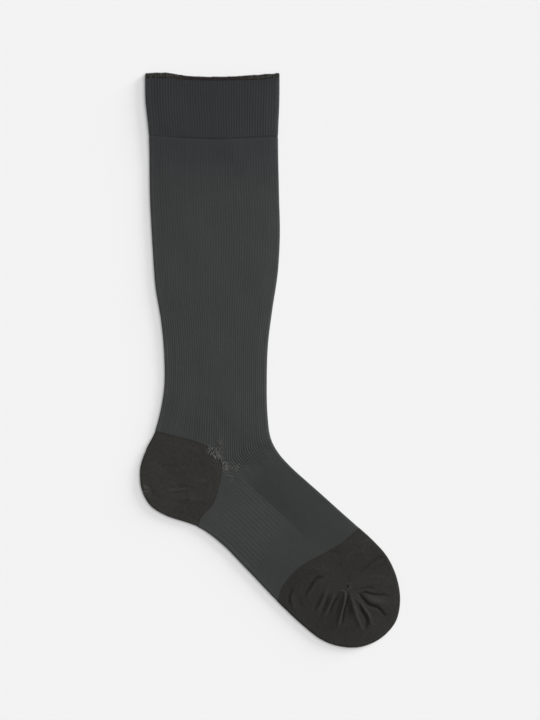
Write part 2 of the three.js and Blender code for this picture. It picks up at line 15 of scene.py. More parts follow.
import bpy
import numpy as np
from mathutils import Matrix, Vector


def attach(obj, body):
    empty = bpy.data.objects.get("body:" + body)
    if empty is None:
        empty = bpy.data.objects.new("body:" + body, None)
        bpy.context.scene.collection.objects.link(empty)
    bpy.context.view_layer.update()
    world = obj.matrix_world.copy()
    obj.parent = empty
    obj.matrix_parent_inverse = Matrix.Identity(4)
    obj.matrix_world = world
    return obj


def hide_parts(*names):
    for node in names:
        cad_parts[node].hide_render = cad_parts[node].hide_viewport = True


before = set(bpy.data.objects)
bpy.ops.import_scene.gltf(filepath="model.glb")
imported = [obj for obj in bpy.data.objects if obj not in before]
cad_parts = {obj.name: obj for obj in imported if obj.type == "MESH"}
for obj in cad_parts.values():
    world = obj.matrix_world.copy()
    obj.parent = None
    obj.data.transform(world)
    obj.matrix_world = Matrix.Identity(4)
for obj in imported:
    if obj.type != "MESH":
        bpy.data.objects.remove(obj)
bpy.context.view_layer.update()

LOG = logging.getLogger("stocking")
BODY = "root"
UV_NAME = "knit"
MM = 0.001

# Cloth, in millimetres
SEAM_GAP = 0.02
TRIM_GAP = 0.3
KNIT_WALL = 1.2
KNIT_HEIGHT = 3.3
CUFF_WALL = 1.8
CUFF_HEIGHT = 4.4
CUFF_TAPER = 26.0
TRIM_DEPTH = 2.3
TRIM_DROP = 1.1
TRIM_WALL = 1.5
MOUTH_DROP = 0.7
SEAM_DEPTH = 0.35
SEAM_SAG = 2.1

# Ribs: how many cross the upper layer, how many of them end at the heel, and how they run
RIBS = 47
HEEL_RIBS = 26
HEEL_SHARE = 0.56
STEEP_WEIGHT = 0.35
RIB_HOLD = 4.0
WALES = 2 * RIBS
HEEL_WALES = 2 * HEEL_RIBS
FOLD_WALES = 6

# Pouches and the closing knot
HEEL_RISE = 0.9
TOE_RISE = 1.0
KNOT = np.array([64.2, -187.8])

# Distances below the cuff's seam, in mm, where the leg has extra rows
SEAM_ROWS = np.array([0.3, 0.7, 1.1, 1.5, 1.9, 2.4, 3.0])

# Grid steps
CURVE_STEPS = 240
PLEAT_STEPS = 18
UPPER_COLUMNS = 6 * RIBS
UNDER_COLUMNS = 4 * RIBS
FOLD_COLUMNS = 12

# Shader noise, in cells to a metre of cloth, or to a wale and a course of stitches
DRIFT_SCALE = 28
LUMP_SCALE = 330
FIBRE_SCALE = 2600
CURL_SCALE = (1.6, 0.6, 1)
FLECK_SCALE = (0.6, 0.9, 1)

# How far round the fold, in radians, the pulled-open stitches still show
OPEN_TURN = 1.0

# The random draws: which ones they are, how many, and how far a rib's height strays
RIB_SEED = 50
RIB_DRAWS = 256
RIB_SPREAD = 0.16

# The least length of a path, in mm, and how far a slope looks to each side on a curve's parameter
LEAST_LENGTH = 1e-9
SLOPE_STEP = 1e-4

Array = np.ndarray
Socket = bpy.types.NodeSocket
Colour = tuple[float, float, float, float]
Triple = tuple[float, float, float]
Crossing = Callable[[Array], Array]
Gather = Callable[[Array, Array], Array]


class Slot(Enum):
    """The record's material slots."""

    BROWN = "brown_yarn"
    CUFF = "cuff_knit"
    CHARCOAL = "charcoal_knit"


@dataclass(frozen=True)
class Section:
    """One section of the flat outline: where it meets the calf edge and the shin edge."""

    name: str
    calf: tuple[float, float]
    shin: tuple[float, float]


SECTIONS = (
    Section("top edge", (-103.5, 237.5), (8.0, 237.5)),
    Section("cuff", (-103.2, 216.0), (7.8, 214.0)),
    Section("cuff seam", (-100.4, 186.2), (6.8, 186.2)),
    Section("upper calf", (-99.6, 137.0), (7.6, 137.0)),
    Section("calf", (-97.3, 93.0), (8.3, 104.0)),
    Section("lower calf", (-94.8, 60.0), (6.5, 72.0)),
    Section("shin", (-90.6, 35.0), (2.1, 42.5)),
    Section("ankle", (-87.8, 7.0), (-1.6, 13.0)),
    Section("narrow ankle", (-87.8, -24.0), (-2.6, -22.0)),
    Section("heel top", (-95.1, -58.4), (-1.8, -48.0)),
    Section("bend", (-102.5, -73.5), (0.7, -65.0)),
    Section("heel back", (-107.8, -90.0), (7.0, -76.8)),
    Section("heel corner", (-106.3, -107.5), (17.6, -88.7)),
    Section("under the heel", (-99.3, -120.8), (29.5, -99.5)),
    Section("heel sole", (-86.6, -129.0), (41.4, -110.0)),
    Section("heel end", (-60.0, -138.4), (51.4, -119.0)),
    Section("arch", (-40.5, -152.2), (60.4, -127.1)),
    Section("ball", (-20.0, -172.9), (67.3, -133.2)),
    Section("toe line", (5.5, -199.5), (73.7, -138.9)),
    Section("toe", (27.5, -220.3), (85.6, -149.8)),
    Section("low toe", (43.0, -232.1), (96.8, -162.5)),
    Section("toe base", (57.0, -237.3), (104.7, -179.0)),
    Section("toe front", (73.0, -238.3), (108.0, -198.0)),
    Section("toe tip", (88.0, -233.3), (105.2, -215.0)),
    Section("toe end", (98.3, -225.2), (98.3, -225.2)),
)
SEAM_Y = next(row.calf[1] for row in SECTIONS if row.name == "cuff seam")
CUFF_DEPTH = SECTIONS[0].calf[1] - SEAM_Y

# The mouth of the under layer: the share of the way from the calf to the shin, and how far up
MOUTH = ((0.07, 238.3), (0.17, 237.9), (0.26, 236.2), (0.38, 235.1), (0.62, 235.0), (0.82, 236.3))

# The heel line from the back of the ankle to the sole: the fourth point is the instep corner
HEEL_LINE = (
    (-78.8, -62.8),
    (-59.7, -68.2),
    (-47.2, -75.0),
    (-39.8, -87.0),
    (-41.6, -101.1),
    (-47.2, -119.4),
    (-57.0, -131.0),
)
INSTEP_CORNER = 4 / (len(HEEL_LINE) + 1)

# The toe line from the sole to the instep
TOE_LINE = ((9.5, -188.7), (24.4, -171.5), (47.4, -158.7), (61.5, -149.5))

# Where the photograph shows the origin, in its pixels, and how many millimetres a pixel stands for
PHOTO_CENTRE = (269.9, 360.15)
PHOTO_SCALE = 0.83


@dataclass(frozen=True)
class Pleat:
    """A ridge or, where its rise is negative, a crease.

    Its path is given in the photograph's pixels, and its width and rise are in millimetres.
    """

    name: str
    path: tuple[tuple[float, float], ...]
    width: float
    rise: float


TOE_PLEATS = (
    Pleat("long ridge", ((344.5, 592.5), (344.5, 600), (341.5, 611), (337.5, 626)), 1.15, 1.3),
    Pleat("long ridge's hook", ((334.5, 597), (338, 592.3), (342, 590.8), (345.5, 593)), 1.0, 0.55),
    Pleat("dark side of it", ((348, 594), (346.3, 601), (344, 609), (341.5, 623)), 1.0, -1.2),
    Pleat("hollow by it", ((349.5, 601), (349, 609), (348, 620)), 2.6, -0.7),
    Pleat("lower ridge", ((350, 594), (353, 605), (356.5, 616), (362, 630)), 1.7, 1.0),
    Pleat("lower crease", ((359, 604), (362, 611), (366.5, 620), (365, 628)), 1.25, -1.6),
    Pleat("ridge over it", ((356, 599), (362, 606), (367.5, 614), (372, 625)), 1.4, 0.8),
    Pleat("deep crease", ((359, 594.5), (363.5, 599), (368, 604), (378, 608), (384, 615)), 1.15, -1.9),
    Pleat("puff above it", ((366, 598.5), (375, 601), (385, 603)), 2.4, 0.9),
    Pleat("tip crease", ((358, 594.5), (364, 592.3), (372, 594.3), (388, 595.7)), 1.0, -1.2),
    Pleat("fine crease", ((354, 591.5), (362, 588.8), (370, 587.7), (377, 590.5)), 0.9, -0.6),
    Pleat("tip streak", ((368, 577), (377, 577.5), (386, 579)), 1.6, 0.3),
    Pleat("second tip streak", ((371, 584), (379, 582.5), (387, 581.5)), 1.4, 0.35),
    Pleat("sole ridge", ((326.5, 590), (323, 599), (316, 613)), 1.15, 0.8),
    Pleat("left of it", ((321.5, 594), (317.5, 602), (314, 609)), 1.1, -0.6),
    Pleat("right of it", ((328, 595), (325.5, 603), (321.5, 612)), 1.1, -0.95),
    Pleat("short ridge", ((333.5, 595), (330, 604), (323.5, 616)), 1.1, 0.9),
    Pleat("short crease", ((338.5, 593.5), (335.5, 598), (331.5, 605), (328.5, 613)), 1.2, -1.0),
    Pleat("faint crease", ((341.5, 596), (338, 604), (335.5, 616)), 1.3, -0.45),
    Pleat("cross crease", ((322, 577.3), (316, 578.7), (311, 584), (304, 595)), 1.25, -1.1),
    Pleat("cross ridge", ((324, 580), (317, 582.5), (311.5, 589), (306, 599)), 1.6, 0.45),
    Pleat("sole edge ridge", ((295.5, 588), (291.8, 597), (293.5, 608)), 1.3, 0.45),
    Pleat("sole edge crease", ((292, 588), (288.6, 597), (289.5, 608)), 1.0, -0.5),
    Pleat("sole dent", ((298, 593), (298.5, 600), (302, 607)), 1.3, -0.3),
    Pleat("soft ridge", ((303, 583), (298.5, 590), (296.5, 598)), 1.6, 0.35),
    Pleat("instep crease", ((386, 555.5), (376, 559.5), (368, 564.5), (357, 574)), 1.35, -0.75),
    Pleat("instep ridge", ((383, 559.5), (374, 564), (366, 569)), 1.6, 0.35),
    Pleat("pale streak", ((342, 559), (347, 556), (352, 551.5)), 1.1, 0.6),
    Pleat("pale streak below", ((341.5, 562), (347, 560.3), (352, 558)), 1.0, 0.45),
    Pleat("second pale streak", ((355, 553.5), (360, 550.5), (365, 546)), 1.2, 0.6),
    Pleat("third pale streak", ((358, 545), (363.5, 541.7), (369, 539.5)), 1.2, 0.52),
    Pleat("line crease", ((327, 553), (333, 552), (340, 553)), 1.0, -0.4),
    Pleat("line ridge", ((339, 546.5), (345, 544.5), (352, 545)), 1.1, 0.3),
    Pleat("low line crease", ((301, 577), (309, 574.5), (319, 573)), 1.0, -0.35),
    Pleat("low line ridge", ((303, 570.5), (312, 569), (322, 569.5)), 1.1, 0.25),
    Pleat("slit over the knot", ((347.2, 576), (347.4, 579), (347.4, 582)), 1.1, -0.25),
)

HEEL_PLEATS = (
    Pleat("short crease", ((174, 488.5), (180, 487.2), (188, 486)), 0.95, -0.75),
    Pleat("ridge under it", ((168, 492), (175, 490.3), (185, 488.8)), 0.95, 0.75),
    Pleat("second crease", ((172, 493.5), (179, 492), (187, 490.5)), 0.9, -0.4),
    Pleat("upper streak", ((171, 482.5), (174.5, 485), (178, 488)), 0.9, 0.35),
    Pleat("right streak", ((192, 487), (197, 483), (204, 479.5)), 1.2, 0.35),
    Pleat("right crease", ((190, 492), (198, 487.5), (209, 485)), 1.3, -0.3),
    Pleat("back dent", ((148, 484), (152, 492), (160, 499)), 2.4, -0.3),
    Pleat("back swell", ((142.5, 481), (145, 489), (150, 497)), 1.8, 0.35),
    Pleat("upper dent", ((157, 463), (163, 466), (170, 466)), 1.8, -0.35),
    Pleat("low dent", ((168, 501), (178, 503), (190, 501.5)), 2.0, -0.3),
    Pleat("low swell", ((183, 497), (193, 500), (203, 499)), 2.2, 0.3),
    Pleat("corner pull", ((208, 460), (213, 463), (219, 464)), 1.1, -0.2),
    Pleat("lower pull", ((207, 490), (211, 486), (214, 480)), 1.0, -0.2),
)

LEG_PLEATS = (
    Pleat("corner pucker", ((217.5, 436), (219, 441), (219.5, 448)), 1.0, 0.5),
    Pleat("second pucker", ((221.5, 439), (222, 444), (222.5, 450)), 1.0, 0.4),
    Pleat("corner pull", ((224, 464.5), (231, 468), (240, 477)), 1.5, 0.15),
    Pleat("lower pull", ((223.5, 469), (229, 473.5), (235, 481)), 1.3, -0.15),
    Pleat("bend crease", ((226.5, 459), (243, 463.5), (260, 461.5)), 2.8, -0.3),
    Pleat("shin crease", ((253, 444.5), (262.5, 448), (273, 451.5)), 2.4, -0.3),
    Pleat("ankle dent", ((197.5, 403.5), (215.5, 413), (231.5, 432.5)), 5.0, -0.25),
)


@dataclass(frozen=True)
class Spot:
    """A soft round spot. Its centre is in the photograph's pixels, and its size is in millimetres."""

    name: str
    centre: tuple[float, float]
    size: float
    amount: float


# Where the knit is pulled open and its light core shows
STRETCHED = (
    Spot("heel side of the line", (211, 450.5), 5.0, 1.08),
    Spot("over the corner", (217.5, 455), 6.5, 1.08),
    Spot("below the corner", (226.5, 467.5), 5.5, 0.95),
    Spot("on the heel's tip", (222, 463), 3.0, 1.15),
    Spot("beside the corner", (223.5, 464), 4.5, 0.95),
    Spot("towards the instep", (236, 467), 5.0, 0.72),
    Spot("streaks above", (220, 443), 5.5, 0.72),
    Spot("under the corner", (231, 476.5), 7.0, 0.55),
    Spot("rubbed at the back", (145, 490), 5.5, 0.8),
    Spot("rubbed above it", (138, 474), 4.5, 0.7),
)

# Where the ribs are pulled into sharper relief
PULLED = (
    Spot("beside the corner", (243, 460), 15.0, 1.0),
    Spot("over the heel", (205, 425), 16.0, 0.4),
)

# Where the leg's tone is painted darker: painted shade at the bend and about the heel
LEG_TONES = (
    Spot("shade at the bend", (256, 454), 16.0, -0.14),
    Spot("shade over the heel", (190, 432), 14.0, -0.03),
    Spot("shade beside the heel", (217, 498), 13.0, -0.07),
)

# Where the toe is painted darker or lighter: painted shade by the gathers and the toe line, and
# painted light at the tip and over its crease, at the instep and on the puff between the creases
TOE_TONES = (
    Spot("shade in the gathers", (343, 609), 11.0, -0.13),
    Spot("shade by the sole gathers", (312, 600), 13.0, -0.06),
    Spot("shade at the toe line", (300, 582), 9.0, -0.07),
    Spot("light at the tip", (390, 598), 12.0, 0.1),
    Spot("light over the tip crease", (376, 580), 11.0, 0.05),
    Spot("light at the instep", (356, 545), 14.0, 0.12),
    Spot("puff between the creases", (377, 600), 5.0, 0.16),
)

# Where the heel is painted lighter or darker: painted light at the back and low down, and painted
# shade by the corner and at the sole
HEEL_TONES = (
    Spot("light at the back", (144, 489), 9.0, 0.1),
    Spot("light low down", (172, 500), 14.0, 0.05),
    Spot("shade by the corner", (206, 478), 10.0, -0.05),
    Spot("shade at the sole", (205, 503), 9.0, -0.05),
)


def spots_at(place: Array, spots: tuple[Spot, ...], gather: Gather = np.add) -> Array:
    """What some spots come to at each place. A spot is a bell curve about its centre.

    Args:
        place: the places, with x and y last.
        spots: the spots.
        gather: np.add for their sum, or np.maximum for the highest of them.

    Returns:
        The amount, one for each place.
    """
    total = np.zeros(place.shape[:-1])
    for spot in spots:
        distance = np.linalg.norm(place - photo_place(np.array(spot.centre)), axis=-1)
        total = gather(total, spot.amount * np.exp(-((distance / spot.size) ** 2)))
    return total


def photo_place(pixel: Array) -> Array:
    """The flat place that a pixel of the photograph shows: +Y runs up, so the rows turn round."""
    return (pixel - np.array(PHOTO_CENTRE)) * (PHOTO_SCALE, -PHOTO_SCALE)


def smooth(x: Array, low: float, high: float) -> Array:
    """A soft step from 0 at low to 1 at high: three times the share squared, less twice its cube."""
    share = np.clip((x - low) / (high - low), 0, 1)
    return share * share * (3 - 2 * share)


def mix(a: Array, b: Array, share: Array) -> Array:
    """The point that lies `share` of the way from a to b."""
    return a + (b - a) * share


def cloth_height(y: Array) -> Array:
    """Both layers together, in mm: the cuff is double cloth, and the leg thins down below it."""
    return mix(CUFF_HEIGHT, KNIT_HEIGHT, smooth(SEAM_Y - y, 0, CUFF_TAPER))


def rolling(place: Array) -> Array:
    """How far the upper layer rises and dips: the mean of six long waves that cross.

    Args:
        place: the places, with x and y last.

    Returns:
        The rise as a share, from -1 to 1, one for each place.
    """
    x, y = place[..., 0], place[..., 1]
    waves = (
        (0.034, 0.071, 0.4),
        (-0.083, 0.047, 2.1),
        (0.021, -0.113, 4.0),
        (0.129, 0.024, 1.3),
        (-0.061, -0.139, 5.2),
        (0.173, 0.091, 3.3),
    )
    return sum(np.sin(a * x + b * y + c) for a, b, c in waves) / len(waves)


def rib_drift(place: Array) -> Array:
    """How far a rib strays from its line, in wales: two slow waves down the leg and one across."""
    x, y = place[..., 0], place[..., 1]
    return 0.22 * np.sin(0.043 * y + 0.05 * x) + 0.13 * np.sin(0.117 * y - 0.09 * x + 1.7)


def picots(x: Array) -> Array:
    """How far the turned edge's loops stand up or dip, in mm: four uneven waves across, summed."""
    waves = ((0.47, 3.7, 0.09), (0.95, 2.0, 0.08), (0.62, 4.1, 0.07), (1.45, 1.0, 0.06))
    return sum(amount * np.sin(rate * x + offset) for rate, offset, amount in waves)


class Curve:
    """A smooth curve through a row of points, its speed set by the root of the points' distances."""

    def __init__(self, points: Array) -> None:
        """Mirrors each end, so that every span has a neighbour on both sides."""
        self.points = np.vstack([2 * points[0] - points[1], points, 2 * points[-1] - points[-2]])
        self.spans = len(points) - 1

    def at(self, t: Array) -> Array:
        """The points at some parameters.

        Each span is a cubic whose end tangents weigh the slopes on both sides by their lengths.

        Args:
            t: the parameters, from 0 at the first point to 1 at the last.

        Returns:
            The points, one row each.
        """
        place = np.clip(t, 0, 1) * self.spans
        first = np.minimum(place.astype(int), self.spans - 1)
        u = (place - first)[:, None]
        p0, p1, p2, p3 = (self.points[first + k] for k in range(4))
        spans = ((p0, p1), (p1, p2), (p2, p3))
        d0, d1, d2 = (np.sqrt(np.linalg.norm(b - a, axis=1, keepdims=True)) for a, b in spans)
        out1 = ((p1 - p0) / d0 - (p2 - p0) / (d0 + d1) + (p2 - p1) / d1) * d1
        out2 = ((p2 - p1) / d1 - (p3 - p1) / (d1 + d2) + (p3 - p2) / d2) * d1
        squared = (-3 * p1 + 3 * p2 - 2 * out1 - out2) * u**2
        return p1 + out1 * u + squared + (2 * p1 - 2 * p2 + out1 + out2) * u**3


def pleat_relief(place: Array, pleats: tuple[Pleat, ...]) -> Array:
    """How far pleats lift each place, in mm.

    A pleat's line is a smooth curve cut into straight steps. The lift falls off with the distance from
    the nearest step as a bell curve, and fades towards both ends as the root of a half sine.

    Args:
        place: the places, with x and y last.
        pleats: the ridges and creases.

    Returns:
        The sum of their lifts, one for each place.
    """
    flat = place.reshape(-1, 2)
    total = np.zeros(len(flat))
    for pleat in pleats:
        line = Curve(photo_place(np.array(pleat.path))).at(np.linspace(0, 1, PLEAT_STEPS + 1))
        reach = 4 * pleat.width
        near = ((flat > line.min(0) - reach) & (flat < line.max(0) + reach)).all(1)
        if not near.any():
            continue
        step = np.diff(line, axis=0)
        offset = flat[near][:, None, :] - line[:-1]
        within = np.clip((offset * step).sum(-1) / (step * step).sum(-1), 0, 1)
        distance = np.linalg.norm(offset - within[..., None] * step, axis=-1)
        nearest = distance.argmin(-1)[:, None]
        share = (nearest + np.take_along_axis(within, nearest, -1))[:, 0] / PLEAT_STEPS
        away = np.take_along_axis(distance, nearest, -1)[:, 0]
        fade = np.sqrt(np.clip(np.sin(math.pi * mix(0.03, 0.97, share)), 0, 1))
        total[near] += pleat.rise * fade * np.exp(-((away / pleat.width) ** 2))
    return total.reshape(place.shape[:-1])


class Route:
    """A path in the plane, walked by the share of its length."""

    def __init__(self, points: Array, outs: Array, steep_weight: float = 1.0) -> None:
        """Adds up the path's length from stop to stop.

        Args:
            points: the stops along the path.
            outs: the direction to the path's right at each stop.
            steep_weight: how much a step up or down counts towards the length.
        """
        self.points = points
        self.outs = outs
        step = np.diff(points, axis=0)
        lengths = np.hypot(step[:, 0], steep_weight * step[:, 1])
        self.shares = np.concatenate([[0], np.cumsum(lengths)]) / max(lengths.sum(), LEAST_LENGTH)
        self.length = float(np.hypot(step[:, 0], step[:, 1]).sum())

    @classmethod
    def along(
        cls, curve: Curve, start: float, end: float, shift: Crossing, steep_weight: float = 1.0
    ) -> "Route":
        """The stretch of a curve between two of its parameters, moved to its right.

        Args:
            curve: the curve.
            start: the parameter where the stretch starts.
            end: the parameter where it ends.
            shift: gives how far each point moves, in mm.
            steep_weight: how much a step up or down counts towards the length.

        Returns:
            The path.
        """
        t = np.linspace(start, end, CURVE_STEPS + 1)
        ahead = curve.at(t + SLOPE_STEP) - curve.at(t - SLOPE_STEP)
        ahead /= np.linalg.norm(ahead, axis=1, keepdims=True)
        out = np.stack([ahead[:, 1], -ahead[:, 0]], 1)
        points = curve.at(t)
        return cls(points + out * shift(points)[:, None], out, steep_weight)

    @classmethod
    def still(cls, point: Array, out: Array) -> "Route":
        """A path that stays at one point."""
        return cls(np.repeat(point[None], 2, 0), np.repeat(out[None], 2, 0))

    def at(self, share: Array) -> Array:
        """The points at some shares of the length."""
        return np.stack([np.interp(share, self.shares, self.points[:, k]) for k in range(2)], -1)

    def out(self, share: Array) -> Array:
        """The directions to the right at some shares of the length."""
        found = np.stack([np.interp(share, self.shares, self.outs[:, k]) for k in range(2)], -1)
        return found / np.linalg.norm(found, axis=-1, keepdims=True)


@dataclass
class Patch:
    """Flat cloth between four edges.

    A point lies on the straight line across from the calf edge to the shin edge, bent like the top and
    the bottom line. A line's bend dies away by the power `hold`.
    """

    calf: Route
    shin: Route
    top: Crossing
    bottom: Crossing
    hold: float

    def straight(self, across: Array, along: Array) -> Array:
        """The point on the straight line across."""
        return mix(self.calf.at(along), self.shin.at(along), across[..., None])

    def outward(self, across: Array, along: Array) -> Array:
        """The way that the nearer fold bulges."""
        return np.where(across[..., None] < 0.5, self.calf.out(along), self.shin.out(along))

    def width(self, along: Array) -> Array:
        """The distance from the calf edge to the shin edge, in mm."""
        return np.linalg.norm(self.shin.at(along) - self.calf.at(along), axis=-1)

    def place(self, across: Array, along: Array) -> Array:
        """The flat place of each pair of shares.

        Args:
            across: the share of the way from the calf edge to the shin edge.
            along: the share of the way from the top line to the bottom line.

        Returns:
            The places, with x and y last.
        """
        top_bend = self.top(across) - self.straight(across, np.zeros_like(across))
        bottom_bend = self.bottom(across) - self.straight(across, np.ones_like(across))
        share = along[..., None]
        top_part = top_bend * (1 - share) ** self.hold
        bottom_part = bottom_bend * share**self.hold
        return self.straight(across, along) + top_part + bottom_part


class StockingShape:
    """The outline of the flat stocking and the lines that cross it."""

    def __init__(self) -> None:
        """The outline is one curve: down the calf, round the toe and up the shin."""
        calf = [row.calf for row in SECTIONS]
        shin = [row.shin for row in SECTIONS[:-1]]
        self.outline = Curve(np.array(calf + shin[::-1]))
        self.seam = self._curve(
            self.flat_point(self.calf_share("cuff seam")),
            [self._seam_middle()],
            self.flat_point(self.shin_share("cuff seam")),
        )
        self.heel_line = self._curve(
            self.flat_point(self.calf_share("heel top")),
            list(HEEL_LINE),
            self.flat_point(self.calf_share("heel end")),
        )
        self.toe_line = self._curve(
            self.flat_point(self.calf_share("toe line")),
            list(TOE_LINE),
            self.flat_point(self.shin_share("toe line")),
        )

    @staticmethod
    def _curve(start: Array, rows: list, end: Array) -> Curve:
        """A smooth curve from start through the rows to end."""
        return Curve(np.array([start, *rows, end], float))

    def _seam_middle(self) -> Array:
        """The middle of the cuff's seam, which sags a little.

        Returns:
            The point.
        """
        start = self.flat_point(self.calf_share("cuff seam"))
        end = self.flat_point(self.shin_share("cuff seam"))
        return np.array([(start[0] + end[0]) / 2, start[1] - SEAM_SAG])

    @staticmethod
    def calf_share(name: str) -> float:
        """Where a section meets the calf, as the outline's parameter."""
        row = next(i for i, section in enumerate(SECTIONS) if section.name == name)
        return row / (2 * (len(SECTIONS) - 1))

    @staticmethod
    def shin_share(name: str) -> float:
        """Where a section meets the shin, as the outline's parameter."""
        return 1 - StockingShape.calf_share(name)

    @staticmethod
    def _fold_inset(points: Array) -> Array:
        """Where the flat cloth ends at the outline: the fold bulges out from there by its radius."""
        return -cloth_height(points[:, 1]) / 2

    def flat_edge(self, start: float, end: float) -> Route:
        """The edge of the flat cloth along a stretch of the outline."""
        return Route.along(self.outline, start, end, self._fold_inset)

    def flat_point(self, share: float) -> Array:
        """The edge of the flat cloth at one place of the outline."""
        return Route.along(self.outline, share, share, self._fold_inset).points[0]

    def mouth(self, drop: float) -> Curve:
        """The line of the mouth.

        Args:
            drop: how much lower it runs than the under layer's, in mm.

        Returns:
            The line, from the calf to the shin.
        """
        start = self.flat_point(self.calf_share("top edge"))
        end = self.flat_point(self.shin_share("top edge"))
        rows = [(mix(start[0], end[0], across), y - drop) for across, y in MOUTH]
        return self._curve(start, rows, end)

    @staticmethod
    def crossing(curve: Curve, side: float, gap: float) -> Crossing:
        """A crossing line by the share across, moved by half a gap to one side, 1 or -1."""
        return Route.along(curve, 0, 1, lambda points: np.full(len(points), side * gap / 2)).at

    def cuff(self, drop: float) -> Patch:
        """The cuff from its mouth down to its seam.

        Args:
            drop: how much lower its mouth runs than the under layer's, in mm.

        Returns:
            The flat cloth.
        """
        mouth = Route.along(self.mouth(drop), 0, 1, lambda points: np.zeros(len(points)))
        return Patch(
            self.flat_edge(self.calf_share("top edge"), self.calf_share("cuff seam")),
            self.flat_edge(self.shin_share("top edge"), self.shin_share("cuff seam")),
            mouth.at,
            self.crossing(self.seam, 0, SEAM_GAP),
            1,
        )

    def heel_lines(self, side: float) -> tuple[Route, Route]:
        """The heel line in two halves, from the calf and from the sole to the instep corner.

        Args:
            side: 1 for the heel's side of the line and -1 for the side of the leg and foot.

        Returns:
            The upper half and the lower half.
        """

        def shift(points: Array) -> Array:
            """Half a gap to one side."""
            return np.full(len(points), side * SEAM_GAP / 2)

        upper = Route.along(self.heel_line, 0, INSTEP_CORNER, shift, STEEP_WEIGHT)
        return upper, Route.along(self.heel_line, 1, INSTEP_CORNER, shift)

    def leg_and_foot(self) -> tuple[Patch, Patch]:
        """The leg down to the heel line, and the foot from there to the toe line.

        Returns:
            The flat cloth of the leg, and that of the foot.
        """
        upper, lower = self.heel_lines(-1)
        corner = upper.at(np.array(1.0))
        bend = self.flat_point(self.shin_share("bend"))

        def meeting(line: Route) -> Crossing:
            """The line where leg and foot meet: the heel line, and then straight to the bend.

            Args:
                line: half of the heel line, as far as the instep corner.

            Returns:
                The line, by the share of the way across.
            """

            def at(across: Array) -> Array:
                """The places at some shares of the way across.

                Args:
                    across: the shares.

                Returns:
                    The places, with x and y last.
                """
                straight = mix(corner, bend, ((across - HEEL_SHARE) / (1 - HEEL_SHARE))[..., None])
                curved = line.at(across / HEEL_SHARE)
                return np.where((across <= HEEL_SHARE)[..., None], curved, straight)

            return at

        leg = Patch(
            self.flat_edge(self.calf_share("cuff seam"), self.calf_share("heel top")),
            self.flat_edge(self.shin_share("cuff seam"), self.shin_share("bend")),
            self.crossing(self.seam, 1, SEAM_GAP),
            meeting(upper),
            RIB_HOLD,
        )
        foot = Patch(
            self.flat_edge(self.calf_share("heel end"), self.calf_share("toe line")),
            self.flat_edge(self.shin_share("bend"), self.shin_share("toe line")),
            meeting(lower),
            self.crossing(self.toe_line, -1, SEAM_GAP),
            RIB_HOLD,
        )
        return leg, foot

    def heel(self) -> Patch:
        """The heel pouch, which fans out from the instep corner.

        Returns:
            The flat cloth.
        """
        upper, lower = self.heel_lines(1)
        return Patch(
            self.flat_edge(self.calf_share("heel top"), self.calf_share("heel end")),
            Route.still(upper.at(np.array(1.0)), upper.out(np.array(1.0))),
            upper.at,
            lower.at,
            1,
        )


@dataclass
class Columns:
    """The columns round a flattened tube, as one array each.

    `across` runs from the calf to the shin, `turn` is 0 on the upper layer and half a turn on the under
    layer, and `wale` counts the columns of stitches.
    """

    across: Array
    turn: Array
    wale: Array

    @classmethod
    def tube(cls) -> "Columns":
        """Across the upper layer, down the shin fold, back across the under layer, up the calf fold.

        Returns:
            The columns, in that order.
        """
        wales = np.linspace(0, WALES, UPPER_COLUMNS + 1)
        under_wales = np.linspace(WALES, 0, UNDER_COLUMNS + 1)
        corner = ((0, HEEL_WALES, WALES), (0, HEEL_SHARE, 1))
        upper = np.interp(wales, *corner)
        under = np.interp(under_wales, *corner)
        fold = np.arange(1, FOLD_COLUMNS) / FOLD_COLUMNS
        ones = np.ones(FOLD_COLUMNS - 1)
        half = WALES + FOLD_WALES
        return cls(
            np.concatenate([upper, ones, under, 0 * ones]),
            math.pi * np.concatenate([0 * upper, fold, np.ones_like(under), 1 - fold]),
            np.concatenate(
                [
                    wales,
                    WALES + FOLD_WALES * fold,
                    half + WALES - under_wales,
                    half + WALES + FOLD_WALES * fold,
                ]
            ),
        )

    @classmethod
    def pouch(cls, upper_count: int, under_count: int) -> "Columns":
        """From the instep corner across the under layer, up the calf fold and back to the corner.

        Args:
            upper_count: how many columns of faces the upper layer has.
            under_count: how many the under layer has.

        Returns:
            The columns, in that order.
        """
        under = np.linspace(1, 0, under_count + 1)
        upper = np.linspace(0, 1, upper_count + 1)
        fold = np.arange(1, FOLD_COLUMNS) / FOLD_COLUMNS
        across = np.concatenate([under, 0 * fold, upper])
        turn = math.pi * np.concatenate([np.ones_like(under), 1 - fold, 0 * upper])
        return cls(across, turn, np.zeros_like(across))


@dataclass
class Grid:
    """A grid of corners in a shell, by their numbers as points and as places of the knit map."""

    point: Array
    place: Array

    def rows(self, rows: slice | int) -> "Grid":
        """Some of its rows."""
        return Grid(self.point[rows], self.place[rows])

    def columns(self, columns: slice | Array) -> "Grid":
        """Some of its columns."""
        return Grid(self.point[..., columns], self.place[..., columns])

    @staticmethod
    def stack(*rows: "Grid") -> "Grid":
        """Single rows laid one under the other."""
        return Grid(np.stack([row.point for row in rows]), np.stack([row.place for row in rows]))

    @staticmethod
    def chain(*rows: "Grid") -> "Grid":
        """Single rows joined end to end."""
        return Grid(
            np.concatenate([row.point for row in rows]), np.concatenate([row.place for row in rows])
        )


